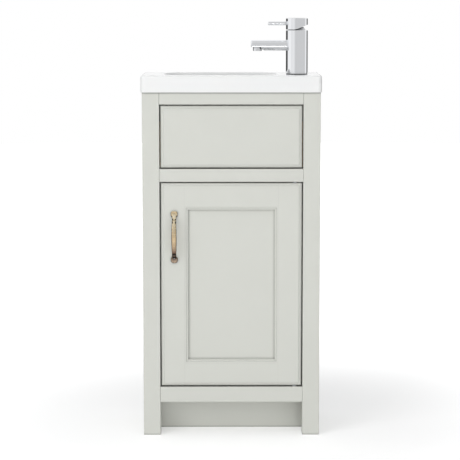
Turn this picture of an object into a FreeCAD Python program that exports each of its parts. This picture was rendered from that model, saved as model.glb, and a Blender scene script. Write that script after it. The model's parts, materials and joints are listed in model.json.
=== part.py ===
import FreeCAD, Part
import math
import os

# Cloakroom vanity unit: a painted face-frame cabinet with one framed door, a glazed basin on top,
# a single-lever mixer on the basin's right-hand deck and a push-plug waste under its bowl.
# Frame: millimetres, X to the right seen from the front, Y to the back, Z up. The origin lies on
# the floor, under the centre of the whole unit's box. The front is the side of low Y.

Vector = FreeCAD.Vector
os.makedirs("parts", exist_ok=True)

# Cabinet
cabinet_width = 415.0
cabinet_depth = 215.0
cabinet_height = 811.0
board_thickness = 16.0
plinth_height = 80.0
fit_gap = 0.1
cut_over = 1.0

# Corner posts
post_width = 40.0
post_depth = 40.0
post_edge_radius = 1.5
side_tongue_thickness = 6.0
side_tongue_length = 8.0

# Housings that hold the boards' ends in the side panels
housing_depth = 6.0

# Face frame
frame_thickness = 22.0
top_rail_height = 28.0
upper_opening_height = 150.0
middle_rail_height = 30.0
bottom_rail_height = 36.0
tenon_length = 18.0
tenon_thickness = 8.0
tenon_shoulder = 4.0

# Inset fronts
front_gap = 3.0
front_bevel_width = 6.5
front_bevel_depth = 2.5

# Framed door
stile_width = 54.5
door_tenon_length = 30.0
door_tenon_thickness = 7.0
panel_recess = 8.0
panel_thickness = 9.0
panel_groove_depth = 9.0
panel_edge_play = 1.0

# Moulding round the door panel
moulding_lip = 0.8
moulding_slope_width = 6.5
moulding_slope_drop = 2.4
moulding_step_width = 4.0
moulding_step_depth = 5.6
moulding_width = 11.5

# False front blocks and their screws
block_width = 20.0
block_thickness = 12.0
block_bowl_gap = 4.0
block_screw_inset = 22.0
wood_screw_radius = 1.75
wood_screw_head_radius = 3.5
wood_screw_head_height = 2.0
wood_screw_bite = 12.0

# Plinth, base and rear rails
plinth_setback = 75.0
rear_rail_height = 60.0
wall_hole_radius = 2.5
wall_hole_from_side = 57.5

# Shelf and its pins
shelf_above_base = 249.0
shelf_side_play = 1.0
shelf_front_inset = 4.0
shelf_back_inset = 3.0
shelf_pin_radius = 2.5
shelf_pin_length = 16.0
shelf_pin_depth = 8.0
shelf_pin_inset = 30.0
shelf_hole_pitch = 32.0
shelf_hole_steps = (-1, 0, 1)

# Door pivots
pivot_from_edge = 16.0
pivot_from_face = 8.0
pivot_pin_radius = 2.5
pivot_pin_in_door = 22.0
pivot_pin_in_bush = 9.0
pivot_collar_radius = 5.0
pivot_collar_height = 1.5
pivot_fit_gap = 0.05
bush_radius = 4.0
bush_length = 12.0
bush_flange_radius = 5.5
bush_flange_height = 1.2

# Magnetic catch and strike plate
catch_width = 14.0
catch_depth = 13.0
catch_height = 44.0
catch_drop = 22.0
catch_gap = 0.3
magnet_width = 8.0
magnet_height = 34.0
magnet_depth = 9.0
strike_width = 12.0
strike_height = 36.0
strike_thickness = 1.5
strike_edge_inset = 1.0

# Bow handle
handle_projection = 28.0
handle_hole_spacing = 96.0
handle_foot_outreach = 13.75
handle_below_door_top = 126.5
handle_from_edge = 31.0
handle_foot_radius = 8.25
handle_foot_tail_radius = 5.5
handle_foot_tail_reach = 6.5
handle_foot_height = 11.0
handle_foot_round = 4.5
handle_grip_width = 13.5
handle_grip_thickness = 8.0
handle_neck_width = 6.0
handle_neck_thickness = 6.5
handle_screw_radius = 2.0
handle_screw_head_radius = 4.0
handle_screw_head_height = 2.2
handle_screw_bite = 7.0

# Basin
basin_side_overhang = 2.5
basin_front_overhang = 5.0
basin_height = 39.0
basin_wall = 11.0
basin_corner_radius = 9.0
basin_edge_radius = 4.0
tap_deck_width = 103.0
bowl_frame_gap = 0.5
bowl_back_rim = 32.0
bowl_depth = 95.0
bowl_corner_radius = 46.0
bowl_floor_radius = 26.0
bowl_foot_bevel = 20.0
bowl_wall = 9.0
bowl_rim_radius = 5.0

# Waste
waste_hole_radius = 23.0
waste_flange_radius = 31.0
waste_flange_height = 3.0
waste_neck_radius = 21.5
waste_neck_past_nut = 2.0
waste_tail_radius = 20.95
waste_bore_radius = 17.5
waste_tail_length = 90.0
waste_seal_thickness = 2.0
waste_nut_across = 52.0
waste_nut_height = 9.0
waste_guide_radius = 7.0
waste_guide_height = 14.0
waste_guide_drop = 12.0
waste_rib_width = 3.5
waste_rib_count = 3
plug_radius = 28.0
plug_edge_height = 2.0
plug_crown = 3.0
plug_stem_radius = 4.0
plug_stem_length = 26.0
plug_seal_radius = 24.0
plug_seal_thickness = 1.5
plug_rest_gap = 0.3

# Mixer body and spout
tap_from_right = 55.0
tap_from_front = 95.0
tap_hole_radius = 17.5
tap_radius = 25.75
tap_seal_thickness = 1.0
tap_seal_radius = 25.0
tap_body_top = 103.4
body_edge_bevel = 1.2
spout_radius = 12.5
spout_below_body_top = 35.9
spout_reach = 108.0
spout_tip_round = 3.0
spout_tip_length = 31.0
spout_tip_rise = 8.6
spout_tip_curve = 8.0

# Aerator
aerator_radius = 10.4
aerator_from_tip = 14.8
aerator_drop = 9.4
aerator_edge_bevel = 0.7
aerator_sunk = 4.0
aerator_bore_radius = 8.6
aerator_recess = 1.2
aerator_insert_height = 6.0
aerator_rib_width = 1.0
aerator_rib_gap = 2.4
aerator_rib_depth = 1.0

# Cartridge in the mixer body
cartridge_radius = 17.5
cartridge_height = 34.0
cartridge_drop = 12.0
cartridge_fit = 0.1
ring_height = 8.0
ring_bore_radius = 11.0
collar_dome_radius = 22.5
collar_height = 6.8
collar_bore_radius = 14.2
rotor_radius = 10.0
rotor_sunk = 10.0
rotor_fit = 0.06
rotor_top_drop = 4.0
rotor_floor_gap = 0.3
rotor_slot_width = 6.2
rotor_slot_length = 14.6
rotor_slot_floor = 3.0
spindle_width = 6.0
spindle_depth = 7.0
spindle_below_pivot = 5.0
spindle_above_body = 19.0
lift_pivot_drop = 9.0
lift_pin_radius = 1.5
lift_pin_half_length = 8.0
lift_pin_fit = 0.05

# Lever cap and pin lever
cap_gap = 0.6
cap_height = 27.5
cap_edge_bevel = 1.0
cap_wedge_start = -4.0
cap_wedge_rise = 11.6
cap_wedge_curve_radius = 26.0
cap_dome_gap = 0.5
cap_boss_radius = 7.5
cap_boss_lift = 4.0
lever_below_cap_top = 12.5
lever_radius = 4.5
lever_reach = 42.0
lever_end_bevel = 1.0
lever_spigot_radius = 3.0
lever_spigot_length = 12.0
grub_radius = 2.5
grub_length = 8.0
grub_lift = 15.8
grub_cover_height = 2.0
grub_cover_sunk = 1.2

# Mixer fixing under the deck and its hose inlets
stud_radius = 4.0
stud_in_body = 12.0
stud_below_deck = 34.0
stud_offset = 9.0
inlet_radius = 5.0
inlet_depth = 14.0
inlet_spread = 8.5
inlet_offset = 4.0
horseshoe_radius = 24.0
horseshoe_slot_half = 15.0
horseshoe_slot_start = 3.0
horseshoe_rubber_thickness = 3.0
horseshoe_steel_thickness = 2.0
stud_nut_across = 13.0
stud_nut_height = 7.0

# Derived planes
overall_depth = cabinet_depth + handle_projection
back_y = overall_depth / 2
face_y = back_y - cabinet_depth
frame_back_y = face_y + frame_thickness
post_back_y = face_y + post_depth
half_width = cabinet_width / 2
post_inner_x = half_width - post_width
side_inner_x = half_width - board_thickness
top_rail_z = cabinet_height - top_rail_height
upper_opening_z = top_rail_z - upper_opening_height
middle_rail_z = upper_opening_z - middle_rail_height
bottom_rail_z = plinth_height
door_opening_z = bottom_rail_z + bottom_rail_height
shelf_top = door_opening_z + shelf_above_base
base_z = door_opening_z - board_thickness
door_half_width = post_inner_x - front_gap
door_z0 = door_opening_z + front_gap
door_z1 = middle_rail_z - front_gap
rear_inner_y = back_y - board_thickness
pivot_x = door_half_width - pivot_from_edge
pivot_y = face_y + pivot_from_face
handle_x = handle_from_edge - door_half_width
handle_centre_z = door_z1 - handle_below_door_top
handle_length = handle_hole_spacing + 2 * handle_foot_outreach
deck_z = cabinet_height + basin_height
basin_width = cabinet_width + 2 * basin_side_overhang
basin_depth = cabinet_depth + basin_front_overhang
basin_front_y = back_y - basin_depth
bowl_left_rim = basin_side_overhang + post_width + bowl_frame_gap + bowl_wall
bowl_front_rim = basin_front_overhang + frame_thickness + bowl_frame_gap + bowl_wall
bowl_length = basin_width - bowl_left_rim - tap_deck_width
bowl_width = basin_depth - bowl_front_rim - bowl_back_rim
bowl_draw_in = bowl_width / 2 - waste_flange_radius - bowl_floor_radius
bowl_x = -basin_width / 2 + bowl_left_rim + bowl_length / 2
bowl_y = basin_front_y + bowl_front_rim + bowl_width / 2
bowl_floor_z = deck_z - bowl_depth
tap_x = basin_width / 2 - tap_from_right
tap_y = basin_front_y + tap_from_front
tap_base_z = deck_z + tap_seal_thickness
body_top_z = deck_z + tap_body_top
cap_top_z = body_top_z + cap_gap + cap_height


def block(x0, x1, y0, y1, z0, z1):
    """A box between two corners."""
    return Part.makeBox(x1 - x0, y1 - y0, z1 - z0, Vector(x0, y0, z0))


def rod(radius, start, end):
    """A round bar from one point to another."""
    line = end - start
    return Part.makeCylinder(radius, line.Length, start, line)


def upright(radius, x, y, z0, z1):
    """A round bar along Z."""
    return rod(radius, Vector(x, y, z0), Vector(x, y, z1))


def face_of(points):
    """A flat face inside a closed run of points."""
    return Part.Face(Part.makePolygon(list(points) + [points[0]]))


def turned(profile, x, y):
    """A solid turned round an upright axis from (radius, z) points."""
    points = [Vector(x + radius, y, z) for radius, z in profile]
    return face_of(points).revolve(Vector(x, y, 0), Vector(0, 0, 1), 360)


def hexagon(across, height, x, y, z):
    """A hexagonal bar of the given width across its flats."""
    corner = across / math.sqrt(3)
    sides = 6
    angles = [2 * math.pi * side / sides for side in range(sides)]
    points = [Vector(x + corner * math.cos(a), y + corner * math.sin(a), z) for a in angles]
    return face_of(points).extrude(Vector(0, 0, height))


def rounded(solid, radius, chosen):
    """The solid with a fillet on each edge that the test chooses."""
    edges = [edge for edge in solid.Edges if chosen(edge)]
    return solid.makeFillet(radius, edges)


def bevelled(solid, size, chosen):
    """The solid with a small bevel on each edge that the test chooses."""
    edges = [edge for edge in solid.Edges if chosen(edge)]
    return solid.makeChamfer(size, edges)


def close(a, b):
    """True where two lengths are the same for the purpose of picking edges."""
    tolerance_share = 1e-4
    return abs(a - b) < tolerance_share * post_width


def edge_is_upright(edge):
    """True for a straight edge along Z."""
    box = edge.BoundBox
    return close(box.XLength, 0) and close(box.YLength, 0)


def edge_lies_at(edge, z):
    """True for an edge that lies in one level."""
    box = edge.BoundBox
    return close(box.ZMin, z) and close(box.ZMax, z)


def save(node, *solids):
    """Write one node's solids to its own file."""
    shape = solids[0] if len(solids) == 1 else Part.makeCompound(list(solids))
    shape.exportStep("parts/" + node + ".step")


def cut_all(solid, tools):
    """The solid less every tool."""
    for tool in tools:
        solid = solid.cut(tool)
    return solid


def mirrored(solid):
    """The solid's twin on the other side of the cabinet's middle."""
    return solid.mirror(Vector(0, 0, 0), Vector(1, 0, 0))


# Face frame

def rail_levels():
    """Bottom and top of each face-frame rail, by its name."""
    return {
        "top_rail": (top_rail_z, cabinet_height),
        "middle_rail": (middle_rail_z, upper_opening_z),
        "bottom_rail": (bottom_rail_z, door_opening_z),
    }


def tenon_bar(z0, z1, slack):
    """The bar that a rail's two tenons are the ends of, or its mortises with some slack."""
    middle_y = face_y + frame_thickness / 2
    half = tenon_thickness / 2 + slack
    reach = post_inner_x + tenon_length + slack
    low = z0 + tenon_shoulder - slack
    high = z1 - tenon_shoulder + slack
    return block(-reach, reach, middle_y - half, middle_y + half, low, high)


def face_rail(z0, z1):
    """A rail with a tenon at each end."""
    body = block(-post_inner_x, post_inner_x, face_y, frame_back_y, z0, z1)
    return body.fuse(tenon_bar(z0, z1, 0)).removeSplitter()


def bush_seat(z, side):
    """The hole for a pivot bush in the rail above or below the door."""
    return pivot_bar(bush_radius + fit_gap, z, z + side * (bush_length + fit_gap))


def make_face_frame():
    """The three rails, with the pivot bush seats in two of them."""
    for name, (z0, z1) in rail_levels().items():
        rail = face_rail(z0, z1)
        if name == "middle_rail":
            rail = rail.cut(bush_seat(z0, 1))
        if name == "bottom_rail":
            rail = rail.cut(bush_seat(z1, -1))
        save(name, rail)


# Posts and side panels

def side_tongue(slack):
    """The tongue of the right side panel, or its groove in the post with some slack."""
    middle_x = half_width - board_thickness / 2
    half = side_tongue_thickness / 2 + slack
    front = post_back_y - side_tongue_length - slack
    return block(middle_x - half, middle_x + half, front, post_back_y, 0, cabinet_height)


def make_posts():
    """Two front posts, each mortised for the rails and grooved for its side panel."""
    post = block(post_inner_x, half_width, face_y, post_back_y, 0, cabinet_height)
    post = rounded(post, post_edge_radius, edge_is_upright)
    post = cut_all(post, [tenon_bar(z0, z1, fit_gap) for z0, z1 in rail_levels().values()])
    post = post.cut(side_tongue(fit_gap))
    save("right_front_post", post)
    save("left_front_post", mirrored(post))


def housed_boards():
    """Front, back, bottom and top of each board whose ends are let into the side panels."""
    plinth_front = face_y + plinth_setback
    return {
        "base_panel": (post_back_y, back_y, base_z, door_opening_z),
        "plinth_board": (plinth_front, plinth_front + board_thickness, 0, base_z),
        "wall_fixing_rail": (rear_inner_y, back_y, cabinet_height - rear_rail_height, cabinet_height),
        "rear_bottom_rail": (rear_inner_y, back_y, door_opening_z, door_opening_z + rear_rail_height),
    }


def housed_board(name):
    """A board that reaches from one side panel's housing to the other's."""
    front, back, low, high = housed_boards()[name]
    reach = side_inner_x + housing_depth
    return block(-reach, reach, front, back, low, high)


def housings():
    """The grooves in the right side panel for the boards' ends."""
    outer = side_inner_x + housing_depth + fit_gap
    return [block(side_inner_x, outer, *sides) for sides in housed_boards().values()]


def shelf_pin_rows():
    """Y of the front and the rear row of shelf pin holes."""
    return (post_back_y + shelf_pin_inset, rear_inner_y - shelf_pin_inset)


def shelf_pin_level():
    """Height of the shelf pins' centres, with the shelf resting on them."""
    return shelf_top - board_thickness - shelf_pin_radius


def shelf_holes():
    """The rows of shelf pin holes in the right side panel."""
    holes = []
    depth = shelf_pin_depth + fit_gap
    for y in shelf_pin_rows():
        for step in shelf_hole_steps:
            z = shelf_pin_level() + step * shelf_hole_pitch
            start = Vector(side_inner_x, y, z)
            holes.append(rod(shelf_pin_radius + pivot_fit_gap, start, start + Vector(depth, 0, 0)))
    return holes


def make_side_panels():
    """Two side panels, tongued into the posts."""
    panel = block(side_inner_x, half_width, post_back_y, back_y, 0, cabinet_height)
    panel = panel.fuse(side_tongue(0)).removeSplitter()
    panel = cut_all(panel, housings() + shelf_holes())
    save("right_side_panel", panel)
    save("left_side_panel", mirrored(panel))


# Base, plinth, rear rails and shelf

def make_base():
    """The base panel, housed in the sides and let in between the posts as far as the face frame."""
    between = block(-post_inner_x, post_inner_x, frame_back_y, post_back_y, base_z, door_opening_z)
    save("base_panel", housed_board("base_panel").fuse(between).removeSplitter())


def make_plinth():
    """The plinth board, set back under the base."""
    save("plinth_board", housed_board("plinth_board"))


def make_rear_rails():
    """The wall fixing rail at the top and the plain rail on the base."""
    rail = housed_board("wall_fixing_rail")
    middle = cabinet_height - rear_rail_height / 2
    for side in (-1, 1):
        x = side * (half_width - wall_hole_from_side)
        hole = rod(wall_hole_radius, Vector(x, rear_inner_y, middle), Vector(x, back_y, middle))
        rail = rail.cut(hole)
    save("wall_fixing_rail", rail)
    save("rear_bottom_rail", housed_board("rear_bottom_rail"))


def make_shelf():
    """The loose shelf and its four pins."""
    half = side_inner_x - shelf_side_play
    front = post_back_y + shelf_front_inset
    low = shelf_top - board_thickness
    save("shelf", block(-half, half, front, back_y - shelf_back_inset, low, shelf_top))
    inner = side_inner_x + shelf_pin_depth - shelf_pin_length
    outer = side_inner_x + shelf_pin_depth
    z = shelf_pin_level()
    right = [rod(shelf_pin_radius, Vector(inner, y, z), Vector(outer, y, z)) for y in shelf_pin_rows()]
    save("shelf_pins", *(right + [mirrored(pin) for pin in right]))


# Inset fronts

def bevelled_front(z0, z1):
    """An inset front with a shallow bevel round its face."""
    full = block(-door_half_width, door_half_width, face_y + front_bevel_depth, frame_back_y, z0, z1)
    outline = (
        (-door_half_width, z0),
        (door_half_width, z0),
        (door_half_width, z1),
        (-door_half_width, z1),
    )
    wires = []
    for y, inset in ((face_y, front_bevel_width), (face_y + front_bevel_depth, 0)):
        corners = []
        for x, z in outline:
            inward_x = inset if x < 0 else -inset
            inward_z = inset if z == z0 else -inset
            corners.append(Vector(x + inward_x, y, z + inward_z))
        wires.append(Part.makePolygon(corners + [corners[0]]))
    return full.fuse(Part.makeLoft(wires, True, True)).removeSplitter()


def block_levels():
    """Bottom and top of the false front's blocks, which end below the bowl."""
    return (upper_opening_z + front_gap, bowl_floor_z - bowl_wall - block_bowl_gap)


def block_screw_places():
    """X and Z of each screw through the false front's blocks."""
    x = post_inner_x - block_width / 2
    low = block_levels()[0] + block_screw_inset
    high = block_levels()[1] - block_screw_inset
    return [(side * x, z) for side in (-1, 1) for z in (low, high)]


def screw_from_behind(x, z, back, through, bite):
    """A countersunk screw that goes in from behind, towards the front."""
    head = back - wood_screw_head_height
    tip = back - through - bite
    profile = (
        (0, back),
        (wood_screw_head_radius, back),
        (wood_screw_radius, head),
        (wood_screw_radius, tip + wood_screw_radius),
        (0, tip),
    )
    points = [Vector(x + radius, y, z) for radius, y in profile]
    return face_of(points).revolve(Vector(x, 0, z), Vector(0, 1, 0), 360)


def make_false_front():
    """The fixed upper front, the two blocks behind its ends and their screws."""
    z0 = upper_opening_z + front_gap
    z1 = top_rail_z - front_gap
    block_back = frame_back_y + block_thickness
    screws = [
        screw_from_behind(x, z, block_back, block_thickness, wood_screw_bite)
        for x, z in block_screw_places()
    ]
    save("false_drawer_front", cut_all(bevelled_front(z0, z1), screws))
    right = block(post_inner_x - block_width, post_inner_x, frame_back_y, block_back, *block_levels())
    save("false_front_blocks", cut_all(right, screws), cut_all(mirrored(right), screws))
    save("false_front_screws", *screws)


# Framed door

def door_tenon(z0, z1, slack):
    """The bar whose ends are a door rail's tenons, or their mortises with some slack."""
    inner = door_half_width - stile_width
    reach = inner + door_tenon_length + slack
    middle_y = face_y + panel_recess + panel_thickness / 2
    half = door_tenon_thickness / 2 + slack
    low = z0 + tenon_shoulder + panel_groove_depth - slack
    high = z1 - tenon_shoulder - panel_groove_depth + slack
    return block(-reach, reach, middle_y - half, middle_y + half, low, high)


def door_panel_blank(slack, edge):
    """The door's centre panel, or the groove that holds its edge."""
    half = door_half_width - stile_width + edge
    low = door_z0 + stile_width - edge
    high = door_z1 - stile_width + edge
    front = face_y + panel_recess - slack
    back = face_y + panel_recess + panel_thickness + slack
    return block(-half, half, front, back, low, high)


def pivot_pin_seats():
    """The holes in the door's ends for the pivot pins."""
    radius = pivot_pin_radius + pivot_fit_gap
    depth = pivot_pin_in_door + fit_gap
    low = upright(radius, pivot_x, pivot_y, door_z0, door_z0 + depth)
    high = upright(radius, pivot_x, pivot_y, door_z1 - depth, door_z1)
    return [low, high]


def handle_screw_levels():
    """Heights of the handle's two screws."""
    half = handle_hole_spacing / 2
    return (handle_centre_z - half, handle_centre_z + half)


def handle_screw_holes(radius, front, back):
    """Holes for the handle's screws between two planes."""
    levels = handle_screw_levels()
    return [rod(radius, Vector(handle_x, front, z), Vector(handle_x, back, z)) for z in levels]


def make_door_frame():
    """Stiles and rails of the door, cut from one bevelled blank so that the bevel runs round."""
    blank = bevelled_front(door_z0, door_z1)
    groove = door_panel_blank(fit_gap, panel_groove_depth)
    inner = door_half_width - stile_width
    top_low = door_z1 - stile_width
    bottom_high = door_z0 + stile_width
    back = frame_back_y + cut_over
    front = face_y - cut_over
    rail_bands = ((door_z0, bottom_high, "door_bottom_rail"), (top_low, door_z1, "door_top_rail"))
    mortises = [door_tenon(z0, z1, fit_gap) for z0, z1, name in rail_bands]
    left_zone = block(-door_half_width, -inner, front, back, door_z0, door_z1)
    left = cut_all(blank.common(left_zone), mortises + [groove])
    screw_hole = handle_screw_radius + fit_gap
    left = cut_all(left, handle_screw_holes(screw_hole, face_y, frame_back_y))
    save("door_left_stile", left)
    right = cut_all(blank.common(mirrored(left_zone)), mortises + [groove] + pivot_pin_seats())
    save("door_right_stile", right)
    for z0, z1, name in rail_bands:
        rail = blank.common(block(-inner, inner, front, back, z0, z1)).cut(groove)
        save(name, rail.fuse(door_tenon(z0, z1, 0)).removeSplitter())


def make_door_panel():
    """The recessed centre panel, loose in its groove."""
    save("door_centre_panel", door_panel_blank(0, panel_groove_depth - panel_edge_play))


def moulding_strip(length):
    """One straight length of the moulding, mitred at both ends, centred on X, inner side up."""
    slope_end = moulding_lip + moulding_slope_drop
    profile = (
        (0, moulding_lip),
        (moulding_lip, moulding_lip),
        (moulding_slope_width - moulding_lip, slope_end),
        (moulding_slope_width, slope_end),
        (moulding_slope_width, moulding_step_depth),
        (moulding_slope_width + moulding_step_width, moulding_step_depth),
        (moulding_width, moulding_step_depth + moulding_lip),
        (moulding_width, panel_recess),
        (0, panel_recess),
    )
    half = length / 2
    strip = face_of([Vector(-half, depth, inward) for inward, depth in profile])
    strip = strip.extrude(Vector(length, 0, 0))
    shape = (
        Vector(-half, 0, 0),
        Vector(half, 0, 0),
        Vector(half - moulding_width, 0, moulding_width),
        Vector(moulding_width - half, 0, moulding_width),
    )
    return strip.common(face_of(shape).extrude(Vector(0, panel_recess, 0)))


def make_moulding():
    """Four mitred lengths round the door panel."""
    half_x = door_half_width - stile_width
    centre_z = (door_z0 + door_z1) / 2
    half_z = (door_z1 - door_z0) / 2 - stile_width
    strips = []
    for angle in (0, 90, 180, 270):
        along_x = angle % 180 == 0
        half_run = half_x if along_x else half_z
        reach = half_z if along_x else half_x
        strip = moulding_strip(2 * half_run)
        strip.translate(Vector(0, 0, -reach))
        strip.rotate(Vector(0, 0, 0), Vector(0, 1, 0), angle)
        strip.translate(Vector(0, face_y, centre_z))
        strips.append(strip)
    save("door_panel_moulding", *strips)


# Door pivots and catch

def pivot_bar(radius, end_a, end_b):
    """A round bar on the door's turning axis, between two levels in either order."""
    return upright(radius, pivot_x, pivot_y, min(end_a, end_b), max(end_a, end_b))


def make_pivots():
    """Pins that turn with the door, in flanged bushes that stay in the rails."""
    pins = []
    bushes = []
    for edge_z, rail_z, out in ((door_z0, door_opening_z, -1), (door_z1, middle_rail_z, 1)):
        inner_end = edge_z - out * pivot_pin_in_door
        outer_end = rail_z + out * pivot_pin_in_bush
        pin = pivot_bar(pivot_pin_radius, inner_end, outer_end)
        collar = pivot_bar(pivot_collar_radius, edge_z, edge_z + out * pivot_collar_height)
        pins.append(pin.fuse(collar).removeSplitter())
        flange_end = rail_z - out * bush_flange_height
        sleeve_end = rail_z + out * bush_length
        flange = pivot_bar(bush_flange_radius, flange_end, rail_z)
        sleeve = pivot_bar(bush_radius, rail_z, sleeve_end)
        bore = pivot_bar(pivot_pin_radius + pivot_fit_gap, flange_end, sleeve_end)
        bushes.append(flange.fuse(sleeve).removeSplitter().cut(bore))
    save("door_pivot_pins", *pins)
    save("door_pivot_bushes", *bushes)


def make_catch():
    """A magnetic catch on the left post, and the strike plate that it holds, on the door."""
    x0 = -post_inner_x
    x1 = x0 + catch_width
    front = frame_back_y + strike_thickness + catch_gap
    high = door_z1 - catch_drop
    low = high - catch_height
    body = block(x0, x1, front, front + catch_depth, low, high)
    middle_x = (x0 + x1) / 2
    middle_z = (low + high) / 2
    half_x = magnet_width / 2
    half_z = magnet_height / 2
    x_low = middle_x - half_x
    x_high = middle_x + half_x
    magnet = block(x_low, x_high, front, front + magnet_depth, middle_z - half_z, middle_z + half_z)
    save("magnetic_catch", body.cut(magnet))
    save("catch_magnet", magnet)
    plate_x0 = -door_half_width + strike_edge_inset
    plate_x1 = plate_x0 + strike_width
    plate_z0 = middle_z - strike_height / 2
    plate_z1 = middle_z + strike_height / 2
    back = frame_back_y + strike_thickness
    plate = block(plate_x0, plate_x1, frame_back_y, back, plate_z0, plate_z1)
    save("catch_strike_plate", plate)


# Bow handle

def handle_foot(side):
    """An egg-shaped foot: round end outwards, narrow tail towards the grip."""
    head = handle_length / 2 - handle_foot_radius
    tail = head - handle_foot_tail_reach
    spread = math.asin((handle_foot_radius - handle_foot_tail_radius) / handle_foot_tail_reach)
    head_dx = handle_foot_radius * math.cos(spread)
    tail_dx = handle_foot_tail_radius * math.cos(spread)
    head_z = head - handle_foot_radius * math.sin(spread)
    tail_z = tail - handle_foot_tail_radius * math.sin(spread)
    tail_tip = tail - handle_foot_tail_radius
    head_left = Vector(-head_dx, 0, head_z)
    head_right = Vector(head_dx, 0, head_z)
    tail_left = Vector(-tail_dx, 0, tail_z)
    tail_right = Vector(tail_dx, 0, tail_z)
    outline = Part.Wire([
        Part.Arc(head_left, Vector(0, 0, handle_length / 2), head_right).toShape(),
        Part.makeLine(head_right, tail_right),
        Part.Arc(tail_right, Vector(0, 0, tail_tip), tail_left).toShape(),
        Part.makeLine(tail_left, head_left),
    ])
    foot = Part.Face(outline).extrude(Vector(0, -handle_foot_height, 0))

    def outer_edge(edge):
        box = edge.BoundBox
        return close(box.YMax, -handle_foot_height)

    foot = rounded(foot, handle_foot_round, outer_edge)
    if side < 0:
        foot = foot.mirror(Vector(0, 0, 0), Vector(0, 0, 1))
    return foot


def handle_section(z, width, thickness, centre):
    """One elliptical cross-section of the bow, level, at its height along the handle."""
    long_axis = max(width, thickness) / 2
    short_axis = min(width, thickness) / 2
    ellipse = Part.Ellipse(Vector(0, 0, 0), long_axis, short_axis)
    wire = Part.Wire(ellipse.toShape())
    if thickness > width:
        wire.rotate(Vector(0, 0, 0), Vector(0, 0, 1), 90)
    wire.translate(Vector(0, -centre, z))
    return wire


def handle_bow():
    """The arched grip, wide in the middle and drawn in to a neck at each foot."""
    grip_centre = handle_projection - handle_grip_thickness / 2
    half = handle_hole_spacing / 2
    place_shares = (0.98, 0.87, 0.5)
    width_shares = (1.0, 1.0, 1.95)
    thickness_shares = (1.0, 1.0, 1.15)
    centre_shares = (0.32, 0.62, 0.93)
    rows = list(zip(place_shares, width_shares, thickness_shares, centre_shares))
    stations = []
    for place, width, thickness, centre in rows:
        size = (width * handle_neck_width, thickness * handle_neck_thickness, centre * grip_centre)
        stations.append((place * half, *size))
    lower = [(-z, width, thickness, centre) for z, width, thickness, centre in stations]
    middle = [(0, handle_grip_width, handle_grip_thickness, grip_centre)]
    upper = list(reversed(stations))
    return Part.makeLoft([handle_section(*row) for row in lower + middle + upper], True, False)


def make_handle():
    """The bow handle with its two screws from inside the door."""
    handle = handle_bow().fuse([handle_foot(1), handle_foot(-1)])
    handle.translate(Vector(handle_x, face_y, handle_centre_z))
    bite = handle_screw_bite + fit_gap
    holes = handle_screw_holes(handle_screw_radius + pivot_fit_gap, face_y - bite, face_y)
    save("door_handle", cut_all(handle, holes))
    screws = []
    for z in handle_screw_levels():
        tip = Vector(handle_x, face_y - handle_screw_bite, z)
        seat = Vector(handle_x, frame_back_y, z)
        shank = rod(handle_screw_radius, tip, seat)
        head = rod(handle_screw_head_radius, seat, seat + Vector(0, handle_screw_head_height, 0))
        screws.append(shank.fuse(head).removeSplitter())
    save("handle_screws", *screws)


# Basin

def rounded_rectangle(centre_x, centre_y, length, width, radius, z):
    """A closed rectangular wire with round corners, level at z."""
    box = Part.makePlane(length, width, Vector(centre_x - length / 2, centre_y - width / 2, z))
    solid = rounded(box.extrude(Vector(0, 0, width)), radius, edge_is_upright)
    low = [edge for edge in solid.Edges if edge_lies_at(edge, z)]
    return Part.Wire(Part.__sortEdges__(low))


def bowl_solid(grow):
    """The space inside the bowl, or the same form grown by the wall, with its floor's edge sharp."""
    length = bowl_length + 2 * grow
    width = bowl_width + 2 * grow
    depth = bowl_depth + grow
    draw_in = bowl_draw_in * depth / bowl_depth
    top = rounded_rectangle(bowl_x, bowl_y, length, width, bowl_corner_radius + grow, deck_z)
    floor_z = deck_z - depth
    floor_length = length - 2 * draw_in
    floor_width = width - 2 * draw_in
    radius = bowl_corner_radius + grow - draw_in / 2
    floor = rounded_rectangle(bowl_x, bowl_y, floor_length, floor_width, radius, floor_z)
    return Part.makeLoft([floor, top], True, True)


def make_basin():
    """The glazed basin: a hollow slab with the bowl hanging through it."""
    half = basin_width / 2
    inner_half = half - basin_wall
    slab = block(-half, half, basin_front_y, back_y, cabinet_height, deck_z)
    slab = rounded(slab, basin_corner_radius, edge_is_upright)
    slab = rounded(slab, basin_edge_radius, lambda edge: edge_lies_at(edge, deck_z))
    hollow_front = basin_front_y + basin_wall
    hollow_back = back_y - basin_wall
    hollow_top = deck_z - basin_wall
    hollow = block(-inner_half, inner_half, hollow_front, hollow_back, cabinet_height, hollow_top)
    slab = slab.cut(hollow)
    under_z = bowl_floor_z - bowl_wall
    outside = bevelled(bowl_solid(bowl_wall), bowl_foot_bevel, lambda edge: edge_lies_at(edge, under_z))
    inside = rounded(bowl_solid(0), bowl_floor_radius, lambda edge: edge_lies_at(edge, bowl_floor_z))
    basin = slab.fuse(outside).removeSplitter().cut(inside)
    rim = [edge for edge in basin.Edges if edge_lies_at(edge, deck_z) and on_bowl_rim(edge)]
    basin = basin.makeFillet(bowl_rim_radius, rim)
    waste = upright(waste_hole_radius, bowl_x, bowl_y, under_z - cut_over, deck_z)
    tap = upright(tap_hole_radius, tap_x, tap_y, hollow_top - cut_over, deck_z + cut_over)
    save("basin", basin.cut(waste).cut(tap))


def on_bowl_rim(edge):
    """True for an edge of the bowl's mouth, not of the slab's outline."""
    box = edge.BoundBox
    reach_x = bowl_length / 2 + cut_over
    reach_y = bowl_width / 2 + cut_over
    inside_x = bowl_x - reach_x < box.XMin and box.XMax < bowl_x + reach_x
    inside_y = bowl_y - reach_y < box.YMin and box.YMax < bowl_y + reach_y
    return inside_x and inside_y


# Waste

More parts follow.
